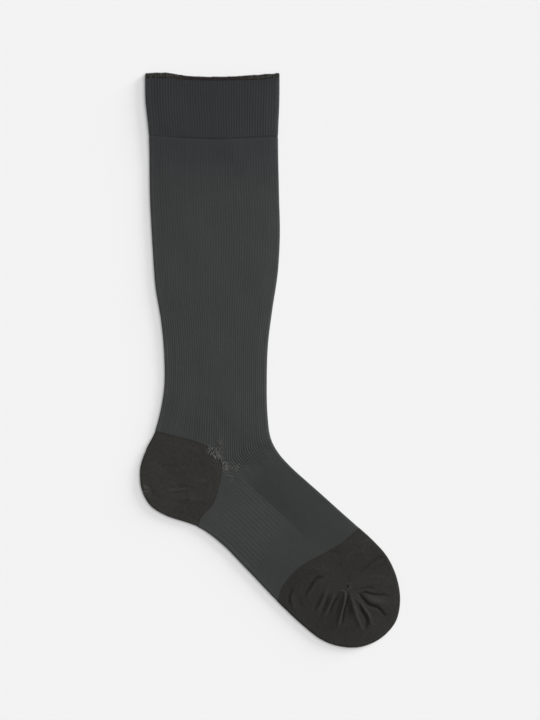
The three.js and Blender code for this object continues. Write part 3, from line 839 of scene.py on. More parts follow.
class Shell:
    """A closed wall of cloth, gathered grid by grid."""

    def __init__(self) -> None:
        """Starts with nothing."""
        self.points: list[Array] = []
        self.places: list[Array] = []
        self.marks: list[dict[str, Array]] = []
        self.point_faces: list[Array] = []
        self.place_faces: list[Array] = []
        self.soft_faces: list[Array] = []
        self.point_count = 0
        self.place_count = 0

    def add(self, points: Array, knit: Array, closed: bool = False, **marks: Array) -> Grid:
        """Takes in a grid of corners, without faces.

        Args:
            points: rows by columns by 3, in mm.
            knit: rows by columns by 2, in stitches: one column more than points has where it's closed.
            closed: whether the last column joins the first.
            marks: an array of rows by columns for each named mark that a finish reads.

        Returns:
            The grid's numbers. Where it's closed, the first column comes again at the end.
        """
        ids = self.point_count + np.arange(points[..., 0].size).reshape(points.shape[:2])
        places = self.place_count + np.arange(knit[..., 0].size).reshape(knit.shape[:2])
        self.point_count += ids.size
        self.place_count += places.size
        self.points.append(points.reshape(-1, 3))
        self.places.append(knit.reshape(-1, 2))
        spread = {name: np.broadcast_to(mark, ids.shape).ravel() for name, mark in marks.items()}
        self.marks.append(spread)
        return Grid(np.hstack([ids, ids[:, :1]]) if closed else ids, places)

    def fill(self, grid: Grid, flip: bool = False, soft: bool = True) -> None:
        """Puts a face between each four neighbours of a grid.

        Args:
            grid: the grid's numbers.
            flip: whether the faces are turned round.
            soft: whether they shade smoothly into each other. A cut rim doesn't.
        """
        for ids, faces in ((grid.point, self.point_faces), (grid.place, self.place_faces)):
            corners = [ids[:-1, :-1], ids[1:, :-1], ids[1:, 1:], ids[:-1, 1:]]
            quads = np.stack(corners, -1).reshape(-1, 4)
            faces.append(quads[:, ::-1] if flip else quads)
        self.soft_faces.append(np.full(len(self.point_faces[-1]), soft))

    def mesh(self, name: str) -> bpy.types.Object:
        """Makes the piece's object, with its knit map and its marks, and no loose or doubled corner.

        Args:
            name: the piece's name.

        Returns:
            The object, in the scene. Its cut rims have sharp edges.
        """
        faces = np.vstack(self.point_faces)
        maps = np.vstack(self.place_faces)
        kept = faces != np.roll(faces, -1, axis=1)
        solid = kept.sum(1) > 2
        faces, maps, kept = faces[solid], maps[solid], kept[solid]
        soft = np.concatenate(self.soft_faces)[solid]
        used, loops = np.unique(faces[kept], return_inverse=True)
        totals = kept.sum(1)
        mesh = bpy.data.meshes.new(name)
        mesh.vertices.add(len(used))
        mesh.vertices.foreach_set("co", (np.vstack(self.points)[used] * MM).astype(np.float32).ravel())
        mesh.loops.add(len(loops))
        mesh.loops.foreach_set("vertex_index", loops.astype(np.int32))
        mesh.polygons.add(len(totals))
        mesh.polygons.foreach_set("loop_start", (np.cumsum(totals) - totals).astype(np.int32))
        mesh.polygons.foreach_set("use_smooth", soft)
        layer = mesh.uv_layers.new(name=UV_NAME, do_init=False)
        layer.uv.foreach_set("vector", np.vstack(self.places)[maps[kept]].astype(np.float32).ravel())
        names = sorted({key for marks in self.marks for key in marks})
        for key in names:
            values = [
                marks.get(key, np.zeros(len(points))) for marks, points in zip(self.marks, self.points)
            ]
            attribute = mesh.attributes.new(key, "FLOAT", "POINT")
            attribute.data.foreach_set("value", np.concatenate(values)[used].astype(np.float32))
        mesh.update(calc_edges=True)
        mesh.validate()
        edges = np.empty(len(loops), np.int32)
        mesh.loops.foreach_get("edge_index", edges)
        sharp = np.zeros(len(mesh.edges), bool)
        sharp[edges[np.repeat(~soft, totals)]] = True
        mesh.edges.foreach_set("use_edge_sharp", sharp)
        made = bpy.data.objects.new(name, mesh)
        bpy.context.scene.collection.objects.link(made)
        return made


class Value:
    """A socket that carries a number. Python's operators on it add Math nodes."""

    def __init__(self, graph: "Graph", socket: Socket) -> None:
        """Wraps a socket of the graph."""
        self.graph = graph
        self.socket = socket

    def _math(self, operation: str, *operands: "Value | float") -> "Value":
        """One Math node. Its operands come in order."""
        inputs = dict(enumerate(operands))
        return self.graph.value("ShaderNodeMath", {"operation": operation}, inputs)

    def __add__(self, other: "Value | float") -> "Value":
        """Sum."""
        return self._math("ADD", self, other)

    def __radd__(self, other: float) -> "Value":
        """Sum, the other way round."""
        return self._math("ADD", other, self)

    def __sub__(self, other: "Value | float") -> "Value":
        """Difference."""
        return self._math("SUBTRACT", self, other)

    def __rsub__(self, other: float) -> "Value":
        """Difference, the other way round."""
        return self._math("SUBTRACT", other, self)

    def __mul__(self, other: "Value | float") -> "Value":
        """Product."""
        return self._math("MULTIPLY", self, other)

    def __rmul__(self, other: float) -> "Value":
        """Product, the other way round."""
        return self._math("MULTIPLY", other, self)

    def __truediv__(self, other: "Value | float") -> "Value":
        """Quotient."""
        return self._math("DIVIDE", self, other)

    def __rtruediv__(self, other: float) -> "Value":
        """Quotient, the other way round."""
        return self._math("DIVIDE", other, self)

    def __abs__(self) -> "Value":
        """Distance from 0."""
        return self._math("ABSOLUTE", self)

    def wave(self) -> "Value":
        """1 at whole numbers and 0 half-way between them, as a cosine."""
        angle = self * (2 * math.pi)
        return self._math("COSINE", angle) * 0.5 + 0.5

    def off_middle(self) -> "Value":
        """The distance from the nearest whole number, from 0 to a half."""
        return abs(self._math("FRACT", self + 0.5) - 0.5)

    def between(self, low: float, high: float) -> "Value":
        """A soft step from 0 at low to 1 at high."""
        settings = {"interpolation_type": "SMOOTHSTEP"}
        return self.graph.value("ShaderNodeMapRange", settings, {0: self, 1: low, 2: high})


class Graph:
    """The node tree of one finish."""

    def __init__(self, name: str) -> None:
        """Makes a material with an empty tree.

        Args:
            name: the material's name.
        """
        self.material = bpy.data.materials.new(name)
        self.material.use_nodes = True
        self.tree = self.material.node_tree
        self.tree.nodes.clear()

    def node(self, kind: str, settings: dict, inputs: dict) -> bpy.types.Node:
        """Adds a node.

        Args:
            kind: the node's type.
            settings: its properties, which are set first.
            inputs: a value, a Value or a socket for each input, by its name or number.

        Returns:
            The node.
        """
        made = self.tree.nodes.new(kind)
        for key, setting in settings.items():
            setattr(made, key, setting)
        for key, given in inputs.items():
            socket = given.socket if isinstance(given, Value) else given
            if isinstance(socket, Socket):
                self.tree.links.new(socket, made.inputs[key])
            else:
                made.inputs[key].default_value = socket
        return made

    def value(self, kind: str, settings: dict, inputs: dict, output: str | int = 0) -> Value:
        """Adds a node and wraps one of its outputs."""
        return Value(self, self.node(kind, settings, inputs).outputs[output])

    def mark(self, name: str) -> Value:
        """One of the piece's own marks."""
        return self.value("ShaderNodeAttribute", {"attribute_name": name}, {}, "Fac")

    def noise(self, place: Socket, scale: float, detail: float = 2.0) -> Value:
        """Soft noise from 0 to 1, about a half."""
        return self.value("ShaderNodeTexNoise", {}, {"Vector": place, "Scale": scale, "Detail": detail})

    def stretched(self, place: Socket, scale: Triple) -> Socket:
        """A place with its axes scaled apart."""
        inputs = {"Vector": place, "Scale": scale}
        return self.node("ShaderNodeMapping", {}, inputs).outputs["Vector"]

    def blend(self, share: Value | float, first: Socket | Colour, second: Socket | Colour) -> Socket:
        """A colour that lies `share` of the way from first to second."""
        inputs = {0: share, 6: first, 7: second}
        return self.node("ShaderNodeMix", {"data_type": "RGBA"}, inputs).outputs[2]

    def shaded(self, colour: Socket | Triple, amount: Value) -> Socket:
        """A colour times an amount."""
        inputs = {0: colour, "Scale": amount}
        return self.node("ShaderNodeVectorMath", {"operation": "SCALE"}, inputs).outputs[0]


def rgb(red: float, green: float, blue: float) -> Colour:
    """A screen's colour as the light that it stands for: the screen's own curve, undone.

    Args:
        red: its red on the screen, from 0 to 255.
        green: its green.
        blue: its blue.

    Returns:
        The light's red, green and blue from 0 to 1, and 1 for no see-through.
    """
    shares = np.array([red, green, blue]) / 255
    light = np.where(shares > 0.04045, ((shares + 0.055) / 1.055) ** 2.4, shares / 12.92)
    return (*(float(x) for x in light), 1.0)


@dataclass(frozen=True)
class KnitFinish:
    """Knitted yarn: rows of small V-shaped stitches, with ribs, fibres and a soft bloom.

    Attributes:
        name: the material's name.
        yarn: the main tone.
        tint: the tone that it drifts into where the piece's `tint` mark says so.
        valley: how much painted shade darkens the cloth between two ribs.
        stitch: how deep the stitches are, in mm.
        stitch_contrast: painted shade between two stitches and painted light on their legs.
        mottle: how uneven the yarn's tone is.
        lumps: how deep the uneven spots of a few stitches are, in mm.
        streak: how many streaks of tone there are to a wale and to a course.
        lean: how steeply a stitch's two legs lean together.
        fibre: how far the loose fibres stand up, in mm.
        fibre_contrast: how uneven they make the tone.
        core_rise: how far the light core stands up where stitches are pulled open, in mm.
        gloss: how strongly the yarn reflects.
        bloom: how strong the sheen of the loose fibres is.
        bloom_spread: how broad that sheen is.
        roughness: how dull the yarn is.
        stretched_yarn: the tone of the light core, where stitches are pulled open.
        flecks: how much of the turned edge's pale flecks shows, and 0 for none.
        fleck_colour: the tone of the flecks.
    """

    name: str
    yarn: Colour
    tint: Colour
    valley: float = 0.16
    stitch: float = 0.16
    stitch_contrast: float = 0.16
    mottle: float = 0.08
    lumps: float = 0.0
    streak: Triple = (0.9, 0.035, 1)
    lean: float = 0.9
    fibre: float = 0.05
    fibre_contrast: float = 0.3
    core_rise: float = 0.15
    gloss: float = 0.2
    bloom: float = 0.05
    bloom_spread: float = 0.5
    roughness: float = 0.88
    stretched_yarn: Colour = rgb(110, 110, 106)
    flecks: float = 0.0
    fleck_colour: Colour = rgb(70, 67, 59)

    def material(self) -> bpy.types.Material:
        """Builds the finish.

        A stitch is two legs that lean together. The height of a leg is a hump across it, times a wave
        along it that is shifted by the distance from the stitch's middle, which makes the V.

        Returns:
            The material.
        """
        graph = Graph(self.name)
        knit = graph.node("ShaderNodeUVMap", {"uv_map": UV_NAME}, {}).outputs["UV"]
        cloth = graph.node("ShaderNodeTexCoord", {}, {}).outputs["Object"]
        parts = graph.node("ShaderNodeSeparateXYZ", {}, {"Vector": knit}).outputs
        wale, course = Value(graph, parts["X"]), Value(graph, parts["Y"])
        aside = wale.off_middle()
        off_leg = abs(aside - 0.25)
        leg = 1 - off_leg * off_leg * 16
        stitch = leg * ((course + aside * self.lean).wave() * 0.7 + 0.3)

        rib = graph.mark("rib")
        stretch = graph.mark("stretch")
        shade = graph.mark("shade")
        drift = graph.noise(cloth, DRIFT_SCALE, 2)
        streaks = graph.noise(graph.stretched(knit, self.streak), 1.0, 3)
        fibres = graph.noise(cloth, FIBRE_SCALE, 3)
        tone = (drift - 0.5) * (2 * self.mottle) + (streaks - 0.5) * (2.4 * self.mottle) + 1
        # The tone takes painted shade in the ribs' valleys and between the stitches, and the shade mark,
        # which carries painted light and shade along with slow tones.
        tone = tone * (rib * self.valley + (1 - self.valley))
        tone = tone * (stitch * self.stitch_contrast + (1 - self.stitch_contrast / 2))
        tone = tone * ((fibres - 0.5) * self.fibre_contrast + 1) * (shade + 1)
        colour = graph.blend(graph.mark("tint"), self.yarn, self.tint)
        colour = graph.shaded(colour, tone)

        curls = graph.noise(graph.stretched(knit, CURL_SCALE), 1.0, 1.5)
        lit = (stretch * 0.24 + curls - 0.5).between(0.15, 0.27) * stretch.between(0.1, 0.7)
        colour = graph.shaded(colour, 1 - stretch.between(0.2, 0.8) * 0.3)
        colour = graph.blend(lit * stitch.between(0.1, 0.6), colour, self.stretched_yarn)
        if self.flecks:
            spots = graph.noise(graph.stretched(knit, FLECK_SCALE), 1.0, 1)
            shown = spots.between(0.6 - self.flecks, 0.7 - self.flecks)
            colour = graph.blend(shown * graph.mark("tint") * 0.9, colour, self.fleck_colour)

        height = stitch * self.stitch + fibres * self.fibre + lit * self.core_rise
        if self.lumps:
            height = height + graph.noise(cloth, LUMP_SCALE, 2) * self.lumps
        heights = {"Strength": 1.0, "Distance": MM, "Height": height}
        bump = graph.node("ShaderNodeBump", {}, heights).outputs["Normal"]
        shader = graph.node(
            "ShaderNodeBsdfPrincipled",
            {},
            {
                "Base Color": colour,
                "Roughness": self.roughness + (fibres - 0.5) * 0.08,
                "Normal": bump,
                "Specular IOR Level": self.gloss,
                "Sheen Weight": self.bloom,
                "Sheen Roughness": self.bloom_spread,
            },
        )
        graph.node("ShaderNodeOutputMaterial", {}, {"Surface": shader.outputs["BSDF"]})
        return graph.material


CHARCOAL = KnitFinish("charcoal_knit", rgb(55.9, 57.7, 56.7), rgb(52.5, 53.6, 55.5), valley=0.1)
CUFF = KnitFinish("cuff_knit", rgb(47, 48, 49.6), rgb(50, 51, 52), valley=0.14)
BROWN = KnitFinish(
    "brown_yarn",
    rgb(43.6, 42.5, 39.8),
    rgb(38.5, 37.6, 35.2),
    valley=0.0,
    stitch=0.16,
    stitch_contrast=0.24,
    mottle=0.3,
    lumps=0.45,
    streak=(0.5, 0.24, 1),
)
TRIM = KnitFinish("trim_yarn", rgb(49, 41, 39.5), rgb(40, 38.5, 34.5), valley=0.4, flecks=0.09)


@dataclass
class Piece:
    """One knitted piece. Its sizes are in millimetres.

    Attributes:
        shape: the outline and the lines that it follows.
        name: the piece's name.
        slot: the record's slot that its finish is. Not used.
        finish: its knit.
        node: the CAD node that it stands for.
        cut_width: how wide it was knitted, all round the tube, and 0 where it has no cut. Not used.
        cut_length: how long it was knitted.
        cut_area: its area as knitted. Not used.
        rests_on: what it lies on. Not used.
        course: how far apart its rows of stitches are.
        rib_rise: how high its ribs stand.
        rolling: how far it rises and dips in slow waves.
        deepest: how deep the under layer's relief may be.
        swell: how high the soft roll beside a fold is.
        crease_shade: painted light on a ridge, and painted shade in a crease, for each mm that it stands
            up.
        rib_heights: how high each rib is, as a share of a plain one.
    """

    shape: StockingShape
    name: str
    slot: Slot
    finish: KnitFinish
    node: str
    cut_width: float
    cut_length: float
    cut_area: float
    rests_on: tuple[str, ...] = ("floor",)
    course: float = 0.78
    rib_rise: float = 0.2
    rolling: float = 0.35
    deepest: float = -0.5
    swell: float = 0.06
    crease_shade: float = 0.3
    rib_heights: Array = field(
        default_factory=lambda: np.random.default_rng(RIB_SEED).normal(1, RIB_SPREAD, RIB_DRAWS)
    )

    def declare(self, made: bpy.types.Object, edging: list[bpy.types.Object]) -> None:
        """Gives the piece its finish, hangs it on the body and hides the CAD part that it replaces.

        Args:
            made: the piece's object.
            edging: the narrow pieces that are knitted on to it, which have no cut of their own. Not
                used.
        """
        made.data.materials.append(self.finish.material())
        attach(made, BODY)
        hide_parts(self.node)
        LOG.info("%s: %d corners, %d faces", self.name, len(made.data.vertices), len(made.data.polygons))

    def rib(self, wale: Array, place: Array) -> Array:
        """How far a rib stands up, by its wale: a raised cosine.

        Args:
            wale: the number of each corner's wale. A rib is two wales wide.
            place: the flat places, along which the ribs drift.

        Returns:
            The height, from 0 in a valley to about 1 on a rib.
        """
        drifted = wale + rib_drift(place)
        height = self.rib_heights[np.round(drifted / 2).astype(int) % len(self.rib_heights)]
        return height * (1 - np.cos(math.pi * drifted)) / 2

    @staticmethod
    def opened(place: Array, turn: Array) -> Array:
        """How far the knit is pulled open, from 0 to about 1. The under layer isn't."""
        return spots_at(place, STRETCHED, np.maximum) * (turn < OPEN_TURN)

    @staticmethod
    def wall(
        place: Array,
        outs: Array,
        turn: Array,
        inset: float,
        raised: Array,
        rise: Array | float = 0,
    ) -> Array:
        """The corners of a skin: round the fold's half circle, and raised on the upper layer.

        Args:
            place: the flat places.
            outs: the way that the fold bulges at each.
            turn: the angle round the fold, from 0 on the upper layer to half a turn on the under layer.
            inset: 0 on the outer skin and the wall's thickness on the inner one.
            raised: how far the skin stands out from its radius.
            rise: how much higher than plain the two layers are.

        Returns:
            The corners, with x, y and z last.
        """
        height = cloth_height(place[..., 1]) + rise
        radius = height / 2 - inset
        bulge = ((radius + raised) * np.sin(turn))[..., None] * outs
        z = height / 2 + (radius + raised) * np.cos(turn)
        return np.concatenate([place + bulge, z[..., None]], -1)

    def edge_swell(self, edge: Array) -> Array:
        """The soft roll that stands up beside a fold, in mm: a bell curve just in from the edge."""
        return self.swell * np.exp(-(((edge - 0.5) / 0.9) ** 2))

    @staticmethod
    def painted_edge_highlight(place: Array, edge: Array, turn: Array, across: Array) -> Array:
        """How much painted highlight the cloth gets beside a fold, where it catches light.

        On the calf a narrow painted highlight runs along the fold itself. On the shin a wide strip of
        painted highlight falls off with the distance from the fold as an exponential. Both come and go
        along the leg.

        Args:
            place: the flat places.
            edge: the distance from the nearer edge of the flat cloth, in mm.
            turn: the angle round the fold.
            across: the share of the way from the calf to the shin.

        Returns:
            How much painted highlight it gets, as a share.
        """
        uneven = 1 + 0.35 * np.sin(0.31 * place[..., 1]) * np.sin(0.083 * place[..., 1] + 1.1)
        calf = 0.42 * smooth(turn, 0, 0.5) + 0.15 * np.exp(-edge / 2.2)
        shin = 0.13 * np.exp(-edge / 4.5) + 0.04 * np.exp(-edge / 12.0)
        return np.where(across < 0.5, calf, shin) * uneven * (1 - smooth(turn, 1.0, 1.6))

    def raised(self, relief: Array, place: Array, turn: Array, edge: Array, inset: float) -> Array:
        """How far a skin stands out: the relief and a slow roll above, and shallow ribs below.

        Args:
            relief: the height of the ribs and pleats, in mm.
            place: the flat places.
            turn: the angle round the fold.
            edge: the distance from the nearer edge of the flat cloth, in mm.
            inset: 0 on the outer skin, where ribs show.

        Returns:
            The height, which is never above 0 from the fold's middle to the under layer.
        """
        above = 1 - smooth(turn, 0, math.pi / 2)
        slow = self.rolling * (rolling(place) + 0.5) * smooth(edge, 0, 12)
        if inset:
            return above * slow * 0.6
        below = np.clip(relief, self.deepest, self.rib_rise) - self.rib_rise
        return above * (relief + slow + self.edge_swell(edge)) + (1 - above) * below


@dataclass
class CuffBand(Piece):
    """A band of the cuff between two depths below the mouth.

    Attributes:
        start: the depth of its upper end.
        end: the depth of its lower end.
        start_drop: how much lower its upper end runs beside the folds.
        end_drop: how much lower its lower end runs there.
        drop_span: how far from the middle, as a share of the width, the drop starts and is whole.
        wall_thickness: how thick its cloth is.
        row_count: how many rows of faces its outer skin has.
        inner_rows: how many its inner skin has.
        rounded_mouth: whether its upper end is the turned edge, with its lip and picots.
        lip_drop: how far the lip rolls down at the mouth.
        lip_power: how soon the lip's roll ends: the share of the way up, raised to this.
        picot_height: how high the picots stand over the lip.
    """

    start: float = 0.0
    end: float = 1.0
    start_drop: float = 0.0
    end_drop: float = 0.0
    drop_span: tuple[float, float] = (0.12, 0.42)
    wall_thickness: float = CUFF_WALL
    row_count: int = 40
    inner_rows: int = 8
    rounded_mouth: bool = False
    lip_drop: float = 0.9
    lip_power: int = 6
    picot_height: float = 0.7

    def build(self) -> bpy.types.Object:
        """Two skins of closed rings and a rim at each end.

        Returns:
            The band's object.
        """
        columns = Columns.tube()
        upper, under = self.shape.cuff(MOUTH_DROP), self.shape.cuff(0)
        shell = Shell()
        grids = []
        for inset in (0.0, self.wall_thickness):
            rows = np.linspace(0, 1, (self.inner_rows if inset else self.row_count) + 1)
            ends = smooth(np.abs(columns.across - 0.5), *self.drop_span)
            top = self.start + self.start_drop * ends
            depth = mix(top, self.end + self.end_drop * ends, rows[:, None])
            along = depth / CUFF_DEPTH
            across = np.broadcast_to(columns.across, along.shape)
            turn = np.broadcast_to(columns.turn, along.shape)
            is_upper = (turn < math.pi / 2)[..., None]
            place = np.where(is_upper, upper.place(across, along), under.place(across, along))
            outs = upper.outward(across, along)
            edge = upper.width(along) * np.minimum(across, 1 - across)
            rib = self.rib(columns.wale, place)
            relief = self.rib_rise * rib * self.fade(along)
            rise = np.zeros_like(along)
            if self.rounded_mouth:
                lip = (1 - rows[:, None]) ** self.lip_power
                rise = rise - self.lip_drop * lip
                lift = lip * (self.picot_height * (rib - 0.3) + picots(place[..., 0]))
                place = place + np.stack([np.zeros_like(rib), lift], -1)
            raised = self.raised(relief, place, turn, edge, inset)
            points = self.wall(place, outs, turn, inset, raised, rise)
            whole = WALES + FOLD_WALES
            wales = np.concatenate([columns.wale, [2 * whole]])
            courses = np.hstack([depth, depth[:, :1]]) / self.course
            knit = np.stack(np.broadcast_arrays(wales, courses), -1)
            # The painted highlight beside the folds goes into the shade mark.
            shade = self.shade(along, across) + self.painted_edge_highlight(place, edge, turn, across)
            if self.rounded_mouth:
                shade = shade - self.dark_edge_lines(depth, depth[-1], columns.wale)
            tint = ends * self.rounded_mouth
            grid = shell.add(points, knit, True, rib=rib * (inset == 0), shade=shade, tint=tint)
            shell.fill(grid, inset > 0)
            grids.append(grid)
        outer, inner = grids
        shell.fill(Grid.stack(inner.rows(0), outer.rows(0)), soft=self.rounded_mouth)
        shell.fill(Grid.stack(outer.rows(-1), inner.rows(-1)), soft=False)
        return shell.mesh(self.name)

    def dark_edge_lines(self, depth: Array, last: Array, wale: Array) -> Array:
        """How much darker the turned edge is at its top and at its lower end: a bell curve about each.

        Args:
            depth: the depth below the mouth, in mm.
            last: the depth at the band's lower end, in each column.
            wale: the number of each column's wale, which picks how dark the two lines are there.

        Returns:
            How much darker it is, as a share.
        """
        picked = [self.rib_heights[(step * wale).astype(int) % RIB_DRAWS] for step in (7, 11)]
        upper_darkness, lower_darkness = (np.clip(3 * height - 2.4, 0, 1) for height in picked)
        upper = np.exp(-(((depth - 0.6) / 0.75) ** 2)) * upper_darkness
        lower = np.exp(-(((last - depth) / 0.7) ** 2)) * lower_darkness
        return upper + 0.5 * lower

    @staticmethod
    def fade(along: Array) -> Array:
        """The ribs sink away just above the seam."""
        return smooth(1 - along, 0, 0.06)

    @staticmethod
    def shade(along: Array, across: Array) -> Array:
        """A little lighter low down by the shin, and darker by the calf and at the top."""
        by_shin = smooth(across, 0.55, 1)
        return 0.12 * along * by_shin - 0.04 * (1 - across) - (0.04 + 0.1 * by_shin) * (1 - along) ** 3


@dataclass
class LegAndFoot(Piece):
    """The ribbed leg and the foot, one continuous tube with an opening for the heel.

    Attributes:
        leg_rows: how many rows of faces the leg's outer skin has.
        foot_rows: how many the foot's has.
        row_skip: how many of those rows one row of the inner skin takes up.
        band_ribs: how many paired ribs fit across the foot, of which the arch band shows its part.
        band_rise: how high they stand.
        crease_shade: painted light on a ridge, and painted shade in a crease, for each mm that it stands
            up.
        groove_shade: how much painted shade darkens the seam's groove.
        pulled_shade: how much painted shade darkens the valleys where the ribs are pulled.
    """

    leg_rows: int = 76
    foot_rows: int = 44
    row_skip: int = 4
    band_ribs: int = 26
    band_rise: float = 0.085
    crease_shade: float = 0.2
    groove_shade: float = 0.34
    pulled_shade: float = 0.5

    def build(self) -> bpy.types.Object:
        """Two skins that run on round the bend, a rim at each end and a rim round the heel.

        Returns:
            The tube's object.
        """
        leg, foot = self.shape.leg_and_foot()
        columns = Columns.tube()
        first = UPPER_COLUMNS * HEEL_RIBS // RIBS
        last = UPPER_COLUMNS + FOLD_COLUMNS + UNDER_COLUMNS * (RIBS - HEEL_RIBS) // RIBS
        shell = Shell()
        grids = []
        for inset in (0.0, KNIT_WALL):
            leg_length = (leg.calf.length + leg.shin.length) / 2
            leg_grid = self.skin(shell, leg, columns, self.leg_rows, inset, 0, leg_length)
            foot_length = (foot.calf.length + foot.shin.length) / 2
            foot_grid = self.skin(shell, foot, columns, self.foot_rows, inset, leg_length, foot_length)
            foot_grid.point[0, first : last + 1] = leg_grid.point[-1, first : last + 1]
            shell.fill(leg_grid, inset > 0)
            shell.fill(foot_grid, inset > 0)
            grids.append((leg_grid, foot_grid))
        (outer_leg, outer_foot), (inner_leg, inner_foot) = grids
        heel = np.concatenate([np.arange(last, len(columns.across)), np.arange(0, first + 1)])
        rims = (
            (inner_leg.rows(0), outer_leg.rows(0)),
            (outer_foot.rows(-1), inner_foot.rows(-1)),
            (outer_leg.rows(-1).columns(heel), inner_leg.rows(-1).columns(heel)),
            (inner_foot.rows(0).columns(heel), outer_foot.rows(0).columns(heel)),
        )
        for rim in rims:
            shell.fill(Grid.stack(*rim), soft=False)
        return shell.mesh(self.name)

    def skin(
        self,
        shell: Shell,
        patch: Patch,
        columns: Columns,
        row_count: int,
        inset: float,
        start: float,
        length: float,
    ) -> Grid:
        """One skin of the leg or of the foot.

        Args:
            shell: takes in the corners.
            patch: where the cloth lies.
            columns: the columns round the tube.
            row_count: how many rows of faces the outer skin has.
            inset: how far the skin lies inside the outer one.
            start: how far down the tube the patch starts, which is 0 for the leg.
            length: how long the patch is.

        Returns:
            The grid of the skin's corners.
        """
        is_foot = start > 0
        rows = np.linspace(0, 1, (row_count // self.row_skip if inset else row_count) + 1)
        if not (is_foot or inset):
            rows = np.union1d(rows, SEAM_ROWS / length)
        along = np.broadcast_to(rows[:, None], (len(rows), len(columns.across)))
        across = np.broadcast_to(columns.across, along.shape)
        turn = np.broadcast_to(columns.turn, along.shape)
        place = patch.place(across, along)
        outs = patch.outward(across, along)
        edge = patch.width(along) * np.minimum(across, 1 - across)
        rib = self.rib(columns.wale, place)
        if is_foot:
            rib, relief, band = self.foot_relief(rib, across, along)
        else:
            clear = mix(0.5, 1, smooth(along, 0.4, 0.75))
            rib = 0.5 + clear * (rib - 0.5)
            relief, band = self.rib_rise * rib * smooth(along, 0, 0.015), np.zeros_like(along)
        pleats = pleat_relief(place, LEG_PLEATS)
        pulled = spots_at(place, PULLED)
        relief = relief * (1 + pulled) + pleats
        raised = self.raised(relief, place, turn, edge, inset)
        groove = np.zeros_like(along) if is_foot else self.seam_groove(along * length, across)
        points = self.wall(place, outs, turn, inset, raised, -SEAM_DEPTH * groove)
        wales = np.concatenate([columns.wale, [2 * (WALES + FOLD_WALES)]])
        courses = (start + length * rows[:, None]) / self.course
        knit = np.stack(np.broadcast_arrays(wales, courses), -1)
        # Besides its slow tones, the shade mark gets painted light on ridges and painted shade in
        # creases, painted shade in the seam's groove, in the valleys where the ribs are pulled and at
        # the bend and by the heel, and the painted highlight beside the folds.
        shade = self.shade(across, along, is_foot, band)
        shade = shade + self.crease_shade * pleats - self.groove_shade * groove
        shade = shade - self.pulled_shade * pulled * (0.5 - np.clip(rib, 0, 1))
        shade = shade + spots_at(place, LEG_TONES)
        return shell.add(
            points,
            knit,
            True,
            rib=rib,
            stretch=self.opened(place, turn),
            shade=shade + self.painted_edge_highlight(place, edge, turn, across) * (0.5 if is_foot else 1),
            tint=smooth(place[..., 1], 120, 185),
        )

    def foot_relief(self, rib: Array, across: Array, along: Array) -> tuple[Array, Array, Array]:
        """The foot's relief: ribs that fade on the instep, and the paired ribs of the arch band.

        Args:
            rib: the height of the leg's ribs, from 0 to 1.
            across: the share of the way from the sole to the instep.
            along: the share of the way from the bend to the toe line.

        Returns:
            The height of what ribs there are from 0 to 1, the relief in mm, and the band's share.
        """
        fading = 1 - smooth(along, 0, 0.22)
        end = mix(0.69, 0.56, across / HEEL_SHARE)
        band = smooth(along, 0.07, 0.19) * (1 - smooth(along - end, -0.06, 0.06))
        past = across - self.band_edge(along)
        band = band * (1 - smooth(past, -0.004, 0.004))
        paired = np.sin(math.pi * self.band_ribs * across) ** 6
        instep = smooth(past, -0.002, 0.012)
        border = np.exp(-((past / 0.009) ** 2))
        border = border * smooth(along, 0.05, 0.12) * (1 - smooth(along, 0.5, 0.58))
        relief = self.rib_rise * rib * fading * instep + self.band_rise * paired * band + 0.06 * border
        shown = mix(0.6, rib, fading * instep)
        shown = mix(shown, 0.5 + 0.5 * paired, band)
        return shown + 0.4 * border, relief, band

    @staticmethod
    def seam_groove(below: Array, across: Array) -> Array:
        """How far the cuff's seam draws the cloth in, from 0 to 1: a bell curve, less deep by the calf.

        Args:
            below: the distance below the seam, in mm.
            across: the share of the way from the calf to the shin.

        Returns:
            The share of the seam's full depth.
        """
        lowest = mix(0.2, 0.8, smooth(across, 0, 0.35))
        uneven = 1 + 0.25 * np.sin(17 * across) * np.sin(41 * across + 0.7)
        deep = mix(0.5, 0.8, smooth(across, 0.1, 0.4)) * uneven
        return deep * np.exp(-(((below - lowest) / 1.05) ** 2))

    @staticmethod
    def band_edge(along: Array) -> Array:
        """The share across where the arch band ends: at the heel's corner, and further up beyond it."""
        return HEEL_SHARE + 0.036 * smooth(along, 0, 0.12)

    def shade(self, across: Array, along: Array, is_foot: bool, band: Array) -> Array:
        """How much lighter or darker the cloth is: the band a little lighter, and the instep darker.

        Args:
            across: the share of the way from the calf or the sole to the shin or the instep.
            along: the share of the way down the leg or along the foot.
            is_foot: whether it is the foot.
            band: the arch band's share.

        Returns:
            How much lighter it is, as a share. Darker cloth is below 0.
        """
        if is_foot:
            instep = smooth(across - self.band_edge(along), 0, 0.015) * smooth(along, 0.08, 0.25)
            deepest = np.exp(-(((across - 0.67) / 0.1) ** 2)) * (1 - smooth(along, 0.6, 0.95))
            instep_tone = 0.13 + 0.08 * deepest - 0.03 * smooth(along, 0.5, 0.8)
            sole_tone = 0.1 * smooth(along, 0.5, 0.68) - 0.02 * band
            return -mix(sole_tone, instep_tone + 0.04, instep)
        top = smooth(along, 0, 0.5)
        low = np.exp(-(((along - 0.78) / 0.14) ** 2))
        return -0.09 * (1 - top) - 0.02 * top + 0.05 * low + 0.1 * (across - 0.5)


